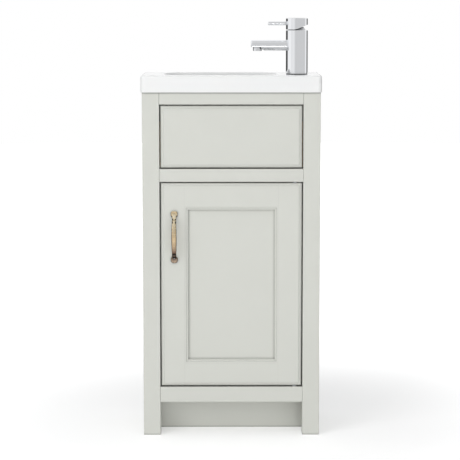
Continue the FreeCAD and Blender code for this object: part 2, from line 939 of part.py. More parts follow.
def make_waste():
    """Flange and tail, their seals and nut, and the guide that the plug's stem slides in."""
    seat_z = bowl_floor_z + waste_seal_thickness
    flange_top = seat_z + waste_flange_height
    tail_end = seat_z - waste_tail_length
    under = bowl_floor_z - bowl_wall
    lower_z = under - waste_seal_thickness
    nut_z = lower_z - waste_nut_height
    neck_end = nut_z - waste_neck_past_nut
    flange = turned([
        (waste_bore_radius, tail_end),
        (waste_tail_radius, tail_end),
        (waste_tail_radius, neck_end),
        (waste_neck_radius, neck_end),
        (waste_neck_radius, seat_z),
        (waste_flange_radius, seat_z),
        (waste_flange_radius, seat_z + waste_flange_height / 3),
        (waste_flange_radius - waste_flange_height, flange_top),
        (waste_bore_radius + waste_flange_height, flange_top),
        (waste_bore_radius, seat_z),
    ], bowl_x, bowl_y)
    guide_top = seat_z - waste_guide_drop
    guide_low = guide_top - waste_guide_height
    spider = upright(waste_guide_radius, bowl_x, bowl_y, guide_low, guide_top)
    for step in range(waste_rib_count):
        rib_reach = waste_bore_radius + (waste_tail_radius - waste_bore_radius) / 2
        half = waste_rib_width / 2
        rib = block(bowl_x, bowl_x + rib_reach, bowl_y - half, bowl_y + half, guide_low, guide_top)
        rib.rotate(Vector(bowl_x, bowl_y, 0), Vector(0, 0, 1), 360 * step / waste_rib_count)
        spider = spider.fuse(rib)
    body = flange.fuse(spider).removeSplitter()
    stem_bore = plug_stem_radius + pivot_fit_gap
    save("waste_body", body.cut(upright(stem_bore, bowl_x, bowl_y, guide_low, guide_top)))
    seal_bore = waste_neck_radius + fit_gap
    seal = upright(waste_flange_radius, bowl_x, bowl_y, bowl_floor_z, seat_z)
    save("waste_upper_seal", seal.cut(upright(seal_bore, bowl_x, bowl_y, bowl_floor_z, seat_z)))
    lower = upright(waste_flange_radius, bowl_x, bowl_y, lower_z, under)
    save("waste_lower_seal", lower.cut(upright(seal_bore, bowl_x, bowl_y, lower_z, under)))
    nut = hexagon(waste_nut_across, waste_nut_height, bowl_x, bowl_y, nut_z)
    save("waste_back_nut", nut.cut(upright(seal_bore, bowl_x, bowl_y, nut_z, lower_z)))


def make_plug():
    """The push plug: a low dome on a stem, with a sealing ring under its edge."""
    seat = bowl_floor_z + waste_seal_thickness + waste_flange_height + plug_rest_gap
    under = seat + plug_seal_thickness
    edge_top = under + plug_edge_height
    crown = edge_top + plug_crown
    stem_end = under - plug_stem_length
    sphere_radius = (plug_radius ** 2 + plug_crown ** 2) / (2 * plug_crown)
    half_angle = math.asin(plug_radius / sphere_radius) / 2
    axis = Vector(bowl_x, bowl_y, 0)
    dome = Part.Arc(
        Vector(bowl_x + plug_radius, bowl_y, edge_top),
        Vector(
            bowl_x + sphere_radius * math.sin(half_angle),
            bowl_y,
            crown - sphere_radius * (1 - math.cos(half_angle)),
        ),
        Vector(bowl_x, bowl_y, crown),
    ).toShape()
    corners = [
        Vector(bowl_x, bowl_y, crown),
        Vector(bowl_x, bowl_y, stem_end),
        Vector(bowl_x + plug_stem_radius, bowl_y, stem_end),
        Vector(bowl_x + plug_stem_radius, bowl_y, under),
        Vector(bowl_x + plug_radius, bowl_y, under),
        Vector(bowl_x + plug_radius, bowl_y, edge_top),
    ]
    lines = [Part.makeLine(a, b) for a, b in zip(corners, corners[1:])]
    profile = Part.Face(Part.Wire(lines + [dome]))
    save("waste_plug", profile.revolve(axis, Vector(0, 0, 1), 360))
    ring = upright(plug_seal_radius, bowl_x, bowl_y, seat, under)
    hole = upright(plug_stem_radius + fit_gap, bowl_x, bowl_y, seat, under)
    save("waste_plug_seal", ring.cut(hole))


# Mixer body

def spout_solid():
    """The spout: a round bar with its tip's underside drawn up to the aerator."""
    axis_z = body_top_z - spout_below_body_top
    tip_x = tap_x - spout_reach
    spout = rod(spout_radius, Vector(tap_x, tap_y, axis_z), Vector(tip_x, tap_y, axis_z))
    spout = rounded(spout, spout_tip_round, lambda edge: close(edge.BoundBox.XMax, tip_x))
    low = axis_z - spout_radius
    flat = low + spout_tip_rise
    curve_x = tip_x + spout_tip_length
    middle_share = 0.5
    rise_share = 0.3
    sweep = Part.Arc(
        Vector(curve_x - spout_tip_curve, tap_y, flat),
        Vector(curve_x - middle_share * spout_tip_curve, tap_y, low + rise_share * spout_tip_rise),
        Vector(curve_x, tap_y, low),
    ).toShape()
    corners = [
        Vector(curve_x, tap_y, low),
        Vector(curve_x, tap_y, low - cut_over),
        Vector(tip_x - cut_over, tap_y, low - cut_over),
        Vector(tip_x - cut_over, tap_y, flat),
        Vector(curve_x - spout_tip_curve, tap_y, flat),
    ]
    lines = [Part.makeLine(a, b) for a, b in zip(corners, corners[1:])]
    tool = Part.Face(Part.Wire([sweep] + lines)).extrude(Vector(0, 2 * tap_radius, 0))
    tool.translate(Vector(0, -tap_radius, 0))
    return spout.cut(tool)


def aerator_levels():
    """Bottom of the aerator, the tip's underside and the top of the aerator's seat."""
    flat = body_top_z - spout_below_body_top - spout_radius + spout_tip_rise
    return (flat - aerator_drop, flat, flat + aerator_sunk)


def inlet_places():
    """X and Y of the two hose inlets in the body's foot."""
    return [(tap_x + side * inlet_spread, tap_y + inlet_offset) for side in (-1, 1)]


def make_tap_body():
    """The mixer's cast body with its spout, cartridge bore, inlets and stud hole."""
    body = upright(tap_radius, tap_x, tap_y, tap_base_z, body_top_z)
    body = bevelled(body, body_edge_bevel, lambda edge: edge_lies_at(edge, body_top_z))
    body = body.fuse(spout_solid()).removeSplitter()
    bore_floor = body_top_z - cartridge_drop - cartridge_height
    body = body.cut(upright(cartridge_radius + cartridge_fit, tap_x, tap_y, bore_floor, body_top_z))
    for x, y in inlet_places():
        body = body.cut(upright(inlet_radius, x, y, tap_base_z, tap_base_z + inlet_depth))
    stud_top = tap_base_z + stud_in_body + fit_gap
    body = body.cut(upright(stud_radius + pivot_fit_gap, tap_x, tap_y - stud_offset, tap_base_z, stud_top))
    low, flat, seat = aerator_levels()
    aerator_x = tap_x - spout_reach + aerator_from_tip
    body = body.cut(upright(aerator_radius + fit_gap, aerator_x, tap_y, low, seat))
    save("tap_body", body)


def make_aerator():
    """The aerator's chromed ring and the slotted insert in its mouth."""
    low, flat, seat = aerator_levels()
    x = tap_x - spout_reach + aerator_from_tip
    ring = upright(aerator_radius, x, tap_y, low, seat)
    ring = bevelled(ring, aerator_edge_bevel, lambda edge: edge_lies_at(edge, low))
    save("aerator_ring", ring.cut(upright(aerator_bore_radius, x, tap_y, low, seat)))
    face_z = low + aerator_recess
    insert = upright(aerator_bore_radius - pivot_fit_gap, x, tap_y, face_z, face_z + aerator_insert_height)
    pitch = aerator_rib_width + aerator_rib_gap
    slot_top = face_z + aerator_rib_depth
    rim = upright(aerator_bore_radius - aerator_rib_width, x, tap_y, face_z, slot_top)
    for step in (-2, -1, 0, 1, 2):
        slot_x = x + step * pitch
        half = aerator_rib_gap / 2
        reach = aerator_bore_radius
        slot = block(slot_x - half, slot_x + half, tap_y - reach, tap_y + reach, face_z, slot_top)
        insert = insert.cut(slot.common(rim))
    save("aerator_insert", insert)


def make_collar():
    """The domed collar over the cartridge, round the lever's pivot, that the cap slides over."""
    pivot_z = body_top_z - lift_pivot_drop
    low = body_top_z - cartridge_drop + ring_height
    top = body_top_z + collar_height
    foot = math.sqrt(collar_dome_radius ** 2 - lift_pivot_drop ** 2)
    lip = math.sqrt(collar_dome_radius ** 2 - (top - pivot_z) ** 2)
    bearing = (math.acos(foot / collar_dome_radius) + math.acos(lip / collar_dome_radius)) / 2
    dome = Part.Arc(
        Vector(tap_x + foot, tap_y, body_top_z),
        Vector(
            tap_x + collar_dome_radius * math.cos(bearing),
            tap_y,
            pivot_z + collar_dome_radius * math.sin(bearing),
        ),
        Vector(tap_x + lip, tap_y, top),
    ).toShape()
    corners = [
        Vector(tap_x + lip, tap_y, top),
        Vector(tap_x + collar_bore_radius, tap_y, top),
        Vector(tap_x + collar_bore_radius, tap_y, low),
        Vector(tap_x + cartridge_radius, tap_y, low),
        Vector(tap_x + cartridge_radius, tap_y, body_top_z),
        Vector(tap_x + foot, tap_y, body_top_z),
    ]
    lines = [Part.makeLine(a, b) for a, b in zip(corners, corners[1:])]
    profile = Part.Face(Part.Wire([dome] + lines))
    save("cartridge_collar", profile.revolve(Vector(tap_x, tap_y, 0), Vector(0, 0, 1), 360))


def make_cartridge():
    """The ceramic cartridge's housing, the ring that holds it and the rotor that turns in it."""
    top = body_top_z - cartridge_drop
    floor = top - cartridge_height
    well = top - rotor_sunk
    housing = upright(cartridge_radius, tap_x, tap_y, floor, top)
    save("cartridge_housing", housing.cut(upright(rotor_radius + rotor_fit, tap_x, tap_y, well, top)))
    ring = upright(cartridge_radius, tap_x, tap_y, top, top + ring_height)
    save("cartridge_ring", ring.cut(upright(ring_bore_radius, tap_x, tap_y, top, top + ring_height)))
    rotor_low = well + rotor_floor_gap
    rotor_top = body_top_z - rotor_top_drop
    rotor = upright(rotor_radius, tap_x, tap_y, rotor_low, rotor_top)
    half_x = rotor_slot_length / 2
    half_y = rotor_slot_width / 2
    slot_low = rotor_low + rotor_slot_floor
    slot = block(tap_x - half_x, tap_x + half_x, tap_y - half_y, tap_y + half_y, slot_low, rotor_top)
    pin_z = body_top_z - lift_pivot_drop
    pin_hole = rod(
        lift_pin_radius + lift_pin_fit,
        Vector(tap_x, tap_y - lift_pin_half_length - fit_gap, pin_z),
        Vector(tap_x, tap_y + lift_pin_half_length + fit_gap, pin_z),
    )
    save("cartridge_rotor", rotor.cut(slot).cut(pin_hole))
    spindle = block(
        tap_x - spindle_depth / 2,
        tap_x + spindle_depth / 2,
        tap_y - spindle_width / 2,
        tap_y + spindle_width / 2,
        pin_z - spindle_below_pivot,
        body_top_z + spindle_above_body,
    )
    pin = rod(
        lift_pin_radius,
        Vector(tap_x, tap_y - lift_pin_half_length, pin_z),
        Vector(tap_x, tap_y + lift_pin_half_length, pin_z),
    )
    save("lever_spindle", spindle.cut(pin))
    save("spindle_pivot_pin", pin)


# Lever

def cap_wedge():
    """The space cut from under the cap's right side, which lets the lever tip up."""
    floor = body_top_z + cap_gap
    left = tap_x + cap_wedge_start
    right = tap_x + tap_radius
    run = right - left
    slope = math.atan2(cap_wedge_rise, run)
    tangent = cap_wedge_curve_radius * math.tan(slope / 2)
    bend_z = cap_wedge_curve_radius * (1 - math.cos(slope / 2))
    arc = Part.Arc(
        Vector(left - tangent, tap_y, floor),
        Vector(left - tangent + cap_wedge_curve_radius * math.sin(slope / 2), tap_y, floor + bend_z),
        Vector(left + tangent * math.cos(slope), tap_y, floor + tangent * math.sin(slope)),
    ).toShape()
    far = run + cut_over
    corners = [
        Vector(left + tangent * math.cos(slope), tap_y, floor + tangent * math.sin(slope)),
        Vector(left + far, tap_y, floor + far * math.tan(slope)),
        Vector(left + far, tap_y, floor - cut_over),
        Vector(left - tangent, tap_y, floor - cut_over),
        Vector(left - tangent, tap_y, floor),
    ]
    lines = [Part.makeLine(a, b) for a, b in zip(corners, corners[1:])]
    tool = Part.Face(Part.Wire([arc] + lines)).extrude(Vector(0, 2 * (tap_radius + cut_over), 0))
    tool.translate(Vector(0, -tap_radius - cut_over, 0))
    return tool


def make_lever():
    """The lever cap with its hollow and boss, the pin lever, the grub screw and its cover."""
    floor = body_top_z + cap_gap
    top = cap_top_z
    pivot_z = body_top_z - lift_pivot_drop
    cap = upright(tap_radius, tap_x, tap_y, floor, top)
    cap = bevelled(cap, cap_edge_bevel, lambda edge: edge_lies_at(edge, top))
    hollow = Part.makeSphere(collar_dome_radius + cap_dome_gap, Vector(tap_x, tap_y, pivot_z))
    boss = upright(cap_boss_radius, tap_x, tap_y, floor + cap_boss_lift, top)
    cap = cap.cut(hollow.cut(boss)).cut(cap_wedge())
    half_x = spindle_depth / 2 + fit_gap
    half_y = spindle_width / 2 + fit_gap
    spindle_top = body_top_z + spindle_above_body + fit_gap
    cap = cap.cut(block(tap_x - half_x, tap_x + half_x, tap_y - half_y, tap_y + half_y, floor, spindle_top))
    lever_z = cap_top_z - lever_below_cap_top
    left = tap_x - tap_radius
    spigot_end = left + lever_spigot_length
    hole = rod(
        lever_spigot_radius + pivot_fit_gap,
        Vector(left, tap_y, lever_z),
        Vector(spigot_end + fit_gap, tap_y, lever_z),
    )
    grub_z = body_top_z + grub_lift
    grub_start = tap_y + spindle_width / 2 + fit_gap
    grub_end = grub_start + grub_length
    outside = tap_y + tap_radius
    grub_hole = rod(
        grub_radius + pivot_fit_gap,
        Vector(tap_x, grub_start, grub_z),
        Vector(tap_x, outside, grub_z),
    )
    save("lever_cap", cap.cut(hole).cut(grub_hole))
    lever_end = left - lever_reach
    seat_x = left + lever_radius
    bar = rod(lever_radius, Vector(left, tap_y, lever_z), Vector(lever_end, tap_y, lever_z))
    bar = bevelled(bar, lever_end_bevel, lambda edge: close(edge.BoundBox.XMax, lever_end))
    root = rod(lever_radius, Vector(left, tap_y, lever_z), Vector(seat_x, tap_y, lever_z))
    root = root.cut(upright(tap_radius, tap_x, tap_y, floor, top))
    spigot = rod(lever_spigot_radius, Vector(left, tap_y, lever_z), Vector(spigot_end, tap_y, lever_z))
    save("lever_pin", bar.fuse([root, spigot]).removeSplitter())
    grub_screw = rod(grub_radius, Vector(tap_x, grub_start, grub_z), Vector(tap_x, grub_end, grub_z))
    save("lever_grub_screw", grub_screw)
    cover_end = outside - grub_cover_sunk
    cover_start = cover_end - grub_cover_height
    cover = rod(grub_radius, Vector(tap_x, cover_start, grub_z), Vector(tap_x, cover_end, grub_z))
    save("grub_screw_cover", cover)


# Mixer fixing

def horseshoe(z0, z1):
    """A washer with a wide slot for the hoses and a hole for the stud."""
    ring = upright(horseshoe_radius, tap_x, tap_y, z0, z1)
    slot = block(
        tap_x - horseshoe_slot_half,
        tap_x + horseshoe_slot_half,
        tap_y - horseshoe_slot_start,
        tap_y + horseshoe_radius,
        z0,
        z1,
    )
    stud = upright(stud_radius + fit_gap, tap_x, tap_y - stud_offset, z0, z1)
    return ring.cut(slot).cut(stud)


def make_tap_fixing():
    """Seal under the body, stud, two horseshoe washers and the nut under the deck."""
    seal = upright(tap_seal_radius, tap_x, tap_y, deck_z, tap_base_z)
    save("tap_base_seal", seal.cut(upright(tap_hole_radius, tap_x, tap_y, deck_z, tap_base_z)))
    under = deck_z - basin_wall
    stud_y = tap_y - stud_offset
    stud_end = under - stud_below_deck
    save("tap_fixing_stud", upright(stud_radius, tap_x, stud_y, stud_end, tap_base_z + stud_in_body))
    rubber_z = under - horseshoe_rubber_thickness
    steel_z = rubber_z - horseshoe_steel_thickness
    save("tap_rubber_washer", horseshoe(rubber_z, under))
    save("tap_steel_washer", horseshoe(steel_z, rubber_z))
    nut = hexagon(stud_nut_across, stud_nut_height, tap_x, stud_y, steel_z - stud_nut_height)
    bore = upright(stud_radius + pivot_fit_gap, tap_x, stud_y, steel_z - stud_nut_height, steel_z)
    save("tap_fixing_nut", nut.cut(bore))


make_face_frame()
make_posts()
make_side_panels()
make_base()
make_plinth()
make_rear_rails()
make_shelf()
make_false_front()
make_door_frame()
make_door_panel()
make_moulding()
make_pivots()
make_catch()
make_handle()
make_basin()
make_waste()
make_plug()
make_tap_body()
make_aerator()
make_cartridge()
make_collar()
make_lever()
make_tap_fixing()
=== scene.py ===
import json
import math
from collections import namedtuple

import bmesh
import bpy
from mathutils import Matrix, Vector


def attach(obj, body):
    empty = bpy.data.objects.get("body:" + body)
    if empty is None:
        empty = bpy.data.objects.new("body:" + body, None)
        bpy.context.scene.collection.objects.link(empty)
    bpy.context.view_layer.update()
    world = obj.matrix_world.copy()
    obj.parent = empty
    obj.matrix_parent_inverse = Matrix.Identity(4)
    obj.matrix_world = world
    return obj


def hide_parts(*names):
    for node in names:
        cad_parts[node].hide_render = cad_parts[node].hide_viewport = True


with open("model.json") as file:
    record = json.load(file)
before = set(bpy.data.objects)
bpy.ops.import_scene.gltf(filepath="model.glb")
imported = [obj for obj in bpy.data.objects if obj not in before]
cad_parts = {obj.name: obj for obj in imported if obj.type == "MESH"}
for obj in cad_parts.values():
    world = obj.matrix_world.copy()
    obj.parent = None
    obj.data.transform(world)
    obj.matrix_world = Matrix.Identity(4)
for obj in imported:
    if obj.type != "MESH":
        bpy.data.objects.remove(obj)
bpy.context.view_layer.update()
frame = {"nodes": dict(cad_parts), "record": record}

MM = 0.001
# Corners this close together count as being in one place
NEAR = 0.02 * MM
DOOR_FACE, DOOR_BACK = -93.5, -71.5
scene = bpy.context.scene
nodes = frame["nodes"]


# Colours and shader nodes

def linear(red, green, blue):
    """A colour written in 0-255 screen values, as Blender's linear colour."""
    def one(value):
        share = value / 255
        return share / 12.92 if share <= 0.04045 else ((share + 0.055) / 1.055) ** 2.4
    return (one(red), one(green), one(blue), 1.0)


def darkened(colour, share):
    """A colour at a share of its strength."""
    return tuple(share * channel for channel in colour[:3]) + (1.0,)


WHITE = (1.0, 1.0, 1.0, 1.0)
PAINT, PAINT_SHADE = linear(216, 217, 210), linear(212, 213, 206)
CHROME, CHROME_SHADE = linear(239, 240, 242), linear(236, 238, 241)
BRASS, BRASS_SHADE = linear(222, 186, 112), linear(205, 165, 92)
EVEN = (1.0, 1.0, 1.0)
# Places of the colour sockets on a mix node
FIRST_COLOUR, SECOND_COLOUR, MIXED_COLOUR = 6, 7, 2
VALUE, VECTOR, SMOOTH = "NodeSocketFloat", "NodeSocketVector", "SMOOTHSTEP"


def add_node(tree, kind, place, feeds=None, **settings):
    """A shader node with its settings, each socket in feeds joined to an output or set to a value."""
    node = tree.nodes.new("ShaderNode" + kind)
    node.location = place
    for name, value in settings.items():
        setattr(node, name, value)
    for socket, source in (feeds or {}).items():
        if isinstance(source, bpy.types.NodeSocket):
            tree.links.new(source, node.inputs[socket])
        else:
            node.inputs[socket].default_value = source
    return node


def maths(tree, operation, place, *terms):
    """One step of arithmetic on plain numbers or on what other nodes put out."""
    return add_node(tree, "Math", place, dict(enumerate(terms)), operation=operation).outputs["Value"]


def fade(tree, place, source, start, end, low=0.0, high=1.0, curve="LINEAR"):
    """A value that goes from low to high while its source goes from start to end."""
    feeds = {"Value": source, "From Min": start, "From Max": end, "To Min": low, "To Max": high}
    return add_node(tree, "MapRange", place, feeds, interpolation_type=curve).outputs["Result"]


def mix_colours(tree, place, mask, first, second):
    """A colour that goes from the first to the second as the mask rises."""
    feeds = {"Factor": mask, FIRST_COLOUR: first, SECOND_COLOUR: second}
    return add_node(tree, "Mix", place, feeds, data_type="RGBA").outputs[MIXED_COLOUR]


def split(tree, place, kind, socket):
    """The X, Y and Z that one output of a new node gives."""
    source = add_node(tree, kind, place).outputs[socket]
    return add_node(tree, "SeparateXYZ", (place[0] + 200, place[1]), {"Vector": source}).outputs


def colour_ramp(tree, place, source, stops):
    """The colour at a value from 0 to 1, between stops of position and colour."""
    node = add_node(tree, "ValToRGB", place, {"Fac": source})
    elements = node.color_ramp.elements
    while len(elements) > 1:
        elements.remove(elements[-1])
    for index, (position, colour) in enumerate(stops):
        element = elements[0] if index == 0 else elements.new(position)
        element.position = position
        element.color = colour
    return node.outputs["Color"]


# Shared effects

def group_sheet(name, inputs, output, kind):
    """An empty node group: the sheet, what its inputs give and where its one output is fed."""
    sheet = bpy.data.node_groups.new(name, "ShaderNodeTree")
    for label, value in inputs.items():
        socket = sheet.interface.new_socket(
            name=label, in_out="INPUT", socket_type=VECTOR if isinstance(value, tuple) else VALUE)
        socket.default_value = value
    sheet.interface.new_socket(name=output, in_out="OUTPUT", socket_type=kind)
    start, end = sheet.nodes.new("NodeGroupInput"), sheet.nodes.new("NodeGroupOutput")
    start.location, end.location = (-900, 0), (500, 0)
    return sheet, start.outputs, end.inputs[output]


def stretched_noise(sheet, given, detail, roughness):
    """Noise of the group's size, drawn out by its stretch."""
    place = add_node(sheet, "TexCoord", (-900, -250)).outputs["Object"]
    stretched = add_node(
        sheet, "VectorMath", (-650, -150), {0: place, 1: given["Stretch"]}, operation="MULTIPLY")
    return add_node(sheet, "TexNoise", (-400, 0), {
        "Vector": stretched.outputs["Vector"], "Scale": given["Size"], "Detail": detail,
        "Roughness": roughness}).outputs["Fac"]


def make_mottle_group():
    """Cloudy variation: a mask that wanders slowly over the surface."""
    sheet, given, mask = group_sheet(
        "mottle", {"Size": 12.0, "Contrast": 0.5, "Stretch": EVEN}, "Mask", VALUE)
    half = maths(sheet, "MULTIPLY", (-400, -300), given["Contrast"], 0.5)
    low = maths(sheet, "SUBTRACT", (-250, -300), 0.5, half)
    high = maths(sheet, "ADD", (-250, -450), 0.5, half)
    noise = stretched_noise(sheet, given, 4.0, 0.55)
    sheet.links.new(fade(sheet, (-100, 0), noise, low, high), mask)
    return sheet


def make_corner_shade_group():
    """Painted shade: a mask of the inner corners and narrow gaps, from ambient occlusion, by which the
    finishes darken their colour there.
    """
    sheet, given, mask = group_sheet("inner corners", {"Reach": 0.006, "Hardness": 1.5}, "Mask", VALUE)
    shade = add_node(sheet, "AmbientOcclusion", (-500, 0), {"Distance": given["Reach"]}, samples=8)
    closed = maths(sheet, "SUBTRACT", (-250, 0), 1.0, shade.outputs["AO"])
    sheet.links.new(maths(sheet, "POWER", (-50, 0), closed, given["Hardness"]), mask)
    return sheet


def make_ripple_group():
    """Fine relief of a sprayed, cast or drawn surface, as a normal."""
    sheet, given, normal = group_sheet(
        "fine relief", {"Size": 900.0, "Depth": 0.05, "Stretch": EVEN}, "Normal", VECTOR)
    noise = stretched_noise(sheet, given, 3.0, 0.5)
    bump = add_node(
        sheet, "Bump", (-100, 0), {"Height": noise, "Strength": given["Depth"], "Distance": 0.0004})
    sheet.links.new(bump.outputs["Normal"], normal)
    return sheet


mottle_sheet = make_mottle_group()
corner_shade_sheet = make_corner_shade_group()
ripple_sheet = make_ripple_group()


# Finishes

class Finish:
    """One material while it is being mixed: its shader and the effects that feed it."""

    def __init__(self, name, **plain):
        self.material = bpy.data.materials.new(name)
        self.material.use_nodes = True
        self.tree = self.material.node_tree
        self.shader = self.tree.nodes["Principled BSDF"]
        for socket, value in plain.items():
            self.shader.inputs[socket.replace("_", " ")].default_value = value
        self.row = 0

    def next_place(self, across):
        """The next free row on the sheet."""
        self.row += 1
        return (across, 300 - 220 * self.row)

    def effect(self, sheet, **values):
        """What one shared effect puts out with its own values."""
        return add_node(self.tree, "Group", self.next_place(-900), values, node_tree=sheet).outputs[0]

    def mottle(self, size, contrast=0.6, stretch=EVEN):
        """A cloudy mask."""
        return self.effect(mottle_sheet, Size=size, Contrast=contrast, Stretch=stretch)

    def corners(self, reach, hardness):
        """A mask of the inner corners, by which shade is painted into the colour."""
        return self.effect(corner_shade_sheet, Reach=reach, Hardness=hardness)

    def blend(self, mask, first, second):
        """A colour that goes from the first to the second as the mask rises."""
        return mix_colours(self.tree, self.next_place(-500), mask, first, second)

    def level(self, mask, low, high):
        """A value that goes from low to high as the mask rises."""
        return fade(self.tree, self.next_place(-500), mask, 0.0, 1.0, low, high)

    def feed(self, socket, source):
        """Join an effect to one of the shader's sockets."""
        self.tree.links.new(source, self.shader.inputs[socket])

    def done(self, colour, roughness, relief_size, relief_depth, stretch=EVEN):
        """The material, its colour, polish and fine relief in place."""
        self.feed("Base Color", colour)
        self.feed("Roughness", roughness)
        self.feed("Normal", self.effect(
            ripple_sheet, Size=relief_size, Depth=relief_depth, Stretch=stretch))
        return self.material


def make_paint(name, stretch):
    """Satin paint, laid off faintly along the timber, with shade painted darker into its corners and as a
    shadow line right under the basin.
    """
    # The basin's shade runs between these heights in metres
    shade_start, shade_end = 0.8078, 0.8092
    paint = Finish(name, Specular_IOR_Level=0.42)
    strokes = paint.mottle(size=260.0, stretch=stretch)
    tone = paint.blend(paint.mottle(size=9.0, contrast=0.7), PAINT, PAINT_SHADE)
    laid = paint.blend(paint.level(strokes, 0.0, 0.25), tone, PAINT_SHADE)
    deep = darkened(PAINT_SHADE, 0.32)
    # Painted shade: darker in the inner corners and narrow gaps
    corners = paint.corners(reach=0.006, hardness=0.9)
    shaded_in_corners = paint.blend(paint.level(corners, 0.0, 0.92), laid, deep)
    height = split(paint.tree, (-1200, 500), "TexCoord", "Object")["Z"]
    # Painted shadow: a dark line on the boards right under the basin's edge
    line = fade(paint.tree, (-800, 500), height, shade_start, shade_end, high=0.55)
    return paint.done(
        paint.blend(line, shaded_in_corners, deep), paint.level(strokes, 0.38, 0.48),
        relief_size=420.0, relief_depth=0.12, stretch=stretch)


def make_glaze():
    """White glaze: deep gloss over a body that waves very slightly, with grey shade painted into its inner
    corners, such as round the mixer's foot.
    """
    glaze = Finish("white glaze", Specular_IOR_Level=0.5, Coat_Weight=0.4, Coat_Roughness=0.03)
    cloud = glaze.mottle(size=14.0, contrast=0.8)
    body = glaze.blend(cloud, linear(246, 246, 245), linear(242, 243, 243))
    # Painted shade: grey in the inner corners
    corner_shade = glaze.level(glaze.corners(reach=0.014, hardness=1.3), 0.0, 0.45)
    return glaze.done(
        glaze.blend(corner_shade, body, linear(120, 120, 119)), glaze.level(cloud, 0.06, 0.11),
        relief_size=45.0, relief_depth=0.10)


def make_metal(name, colour, shade, polish, size, depth, stretch=EVEN):
    """Bare or plated metal, with breath-marks that change its polish."""
    metal = Finish(name, Metallic=1.0)
    cloud = metal.mottle(size=size, stretch=stretch)
    return metal.done(
        metal.blend(cloud, colour, shade), metal.level(cloud, *polish),
        relief_size=700.0, relief_depth=depth, stretch=stretch)


def make_chrome(name, reach, hardness):
    """Mirror chrome: bright and cool, with dark shade painted in where it lies close to something else."""
    chrome = Finish(name, Metallic=1.0)
    cloud = chrome.mottle(size=40.0)
    plate = chrome.blend(cloud, CHROME, CHROME_SHADE)
    # Painted shade: near black where the chrome lies close to other surfaces
    return chrome.done(
        chrome.blend(chrome.corners(reach, hardness), plate, linear(30, 30, 32)),
        chrome.level(cloud, 0.03, 0.07), relief_size=90.0, relief_depth=0.02)


def make_aged_brass():
    """Aged brass with its light and shade painted in: pale on top and dark brown underneath by the way its
    faces look, painted dark reflections on the flanks of the upper neck, a pinkish grey lower end as a
    painted reflection of the floor, and darker inner corners.
    """
    # The upper neck's height, how far its painted dark flanks reach and the lower end's heights, in metres
    neck, dark_flank_start, dark_flank_end = 0.5150, 0.0085, 0.004
    low_start, low_end = 0.440, 0.424
    underside = 0.18
    brass = Finish("aged brass", Metallic=1.0)
    tree = brass.tree
    facing = split(tree, (-1200, 300), "NewGeometry", "Normal")
    height = split(tree, (-1200, 600), "TexCoord", "Object")["Z"]
    # Painted light and shade: a ramp from dark brown where faces look down to pale where they look up
    upward = fade(tree, (-800, 300), facing["Z"], -1.0, 1.0)
    light_by_facing = colour_ramp(tree, (-600, 300), upward, (
        (0.00, linear(20, 12, 8)), (0.17, linear(34, 22, 15)), (0.25, linear(136, 110, 96)),
        (0.36, linear(170, 145, 126)), (0.50, linear(214, 190, 153)), (0.60, linear(236, 220, 186)),
        (1.00, linear(246, 234, 206)),
    ))
    # Painted dark reflections on the sides of the upper neck
    from_neck = maths(tree, "ABSOLUTE", (-1100, 0), maths(tree, "SUBTRACT", (-1200, 0), height, neck))
    hollow = fade(tree, (-1000, 0), from_neck, dark_flank_start, dark_flank_end, low=1.0, high=4.8, curve=SMOOTH)
    sideways = maths(tree, "ABSOLUTE", (-800, 0), facing["X"])
    deepened = maths(tree, "MULTIPLY", (-700, 0), sideways, hollow)
    flank = fade(tree, (-600, 0), deepened, start=0.36, end=0.86, high=0.92, curve=SMOOTH)
    # Painted reflection of the floor: a pinkish grey towards the lower end
    lowest = fade(tree, (-800, 600), height, low_start, low_end, high=0.75, curve=SMOOTH)
    cloud = brass.mottle(size=90.0)
    body = brass.blend(brass.level(cloud, 0.0, 0.12), light_by_facing, linear(150, 120, 92))
    floor_reflected = brass.blend(lowest, body, linear(140, 124, 112))
    # Faces that look well down keep the dark painted shade, without the mottle or the floor's tint
    toned = brass.blend(maths(tree, "LESS_THAN", (-600, 200), upward, underside), floor_reflected, light_by_facing)
    brown = linear(46, 30, 20)
    sided = brass.blend(flank, toned, brown)
    # Darker inner corners: painted shade, over the patina that old brass keeps there
    corners = brass.corners(reach=0.010, hardness=1.6)
    return brass.done(
        brass.blend(corners, sided, brown), brass.level(cloud, 0.20, 0.32),
        relief_size=500.0, relief_depth=0.05)


def make_plated_brass():
    """A brass waste whose flange is chromed, down to where the basin hides it."""
    # The plating ends between these heights in metres
    plating_start, plating_end = 0.7490, 0.7500
    waste = Finish("brass with a chromed flange", Metallic=1.0)
    height = split(waste.tree, (-1200, 300), "TexCoord", "Object")["Z"]
    plated = fade(waste.tree, (-800, 300), height, plating_start, plating_end)
    cloud = waste.mottle(size=60.0)
    bare, chrome = waste.blend(cloud, BRASS, BRASS_SHADE), waste.blend(cloud, CHROME, CHROME_SHADE)
    return waste.done(
        waste.blend(plated, bare, chrome), waste.level(plated, 0.26, 0.06),
        relief_size=700.0, relief_depth=0.03)


def make_moulded(name, colour, shade, polish):
    """Rubber or moulded plastic with the fine grain of its mould, and shade painted darker into its inner
    corners and gaps.
    """
    moulded = Finish(name, Specular_IOR_Level=0.4)
    cloud = moulded.mottle(size=60.0)
    # Painted shade: darker in the inner corners and narrow gaps
    corner_shade = moulded.level(moulded.corners(reach=0.012, hardness=0.8), 0.0, 0.9)
    return moulded.done(
        moulded.blend(corner_shade, moulded.blend(cloud, colour, shade), darkened(shade, 0.2)),
        moulded.level(cloud, *polish), relief_size=1500.0, relief_depth=0.10)


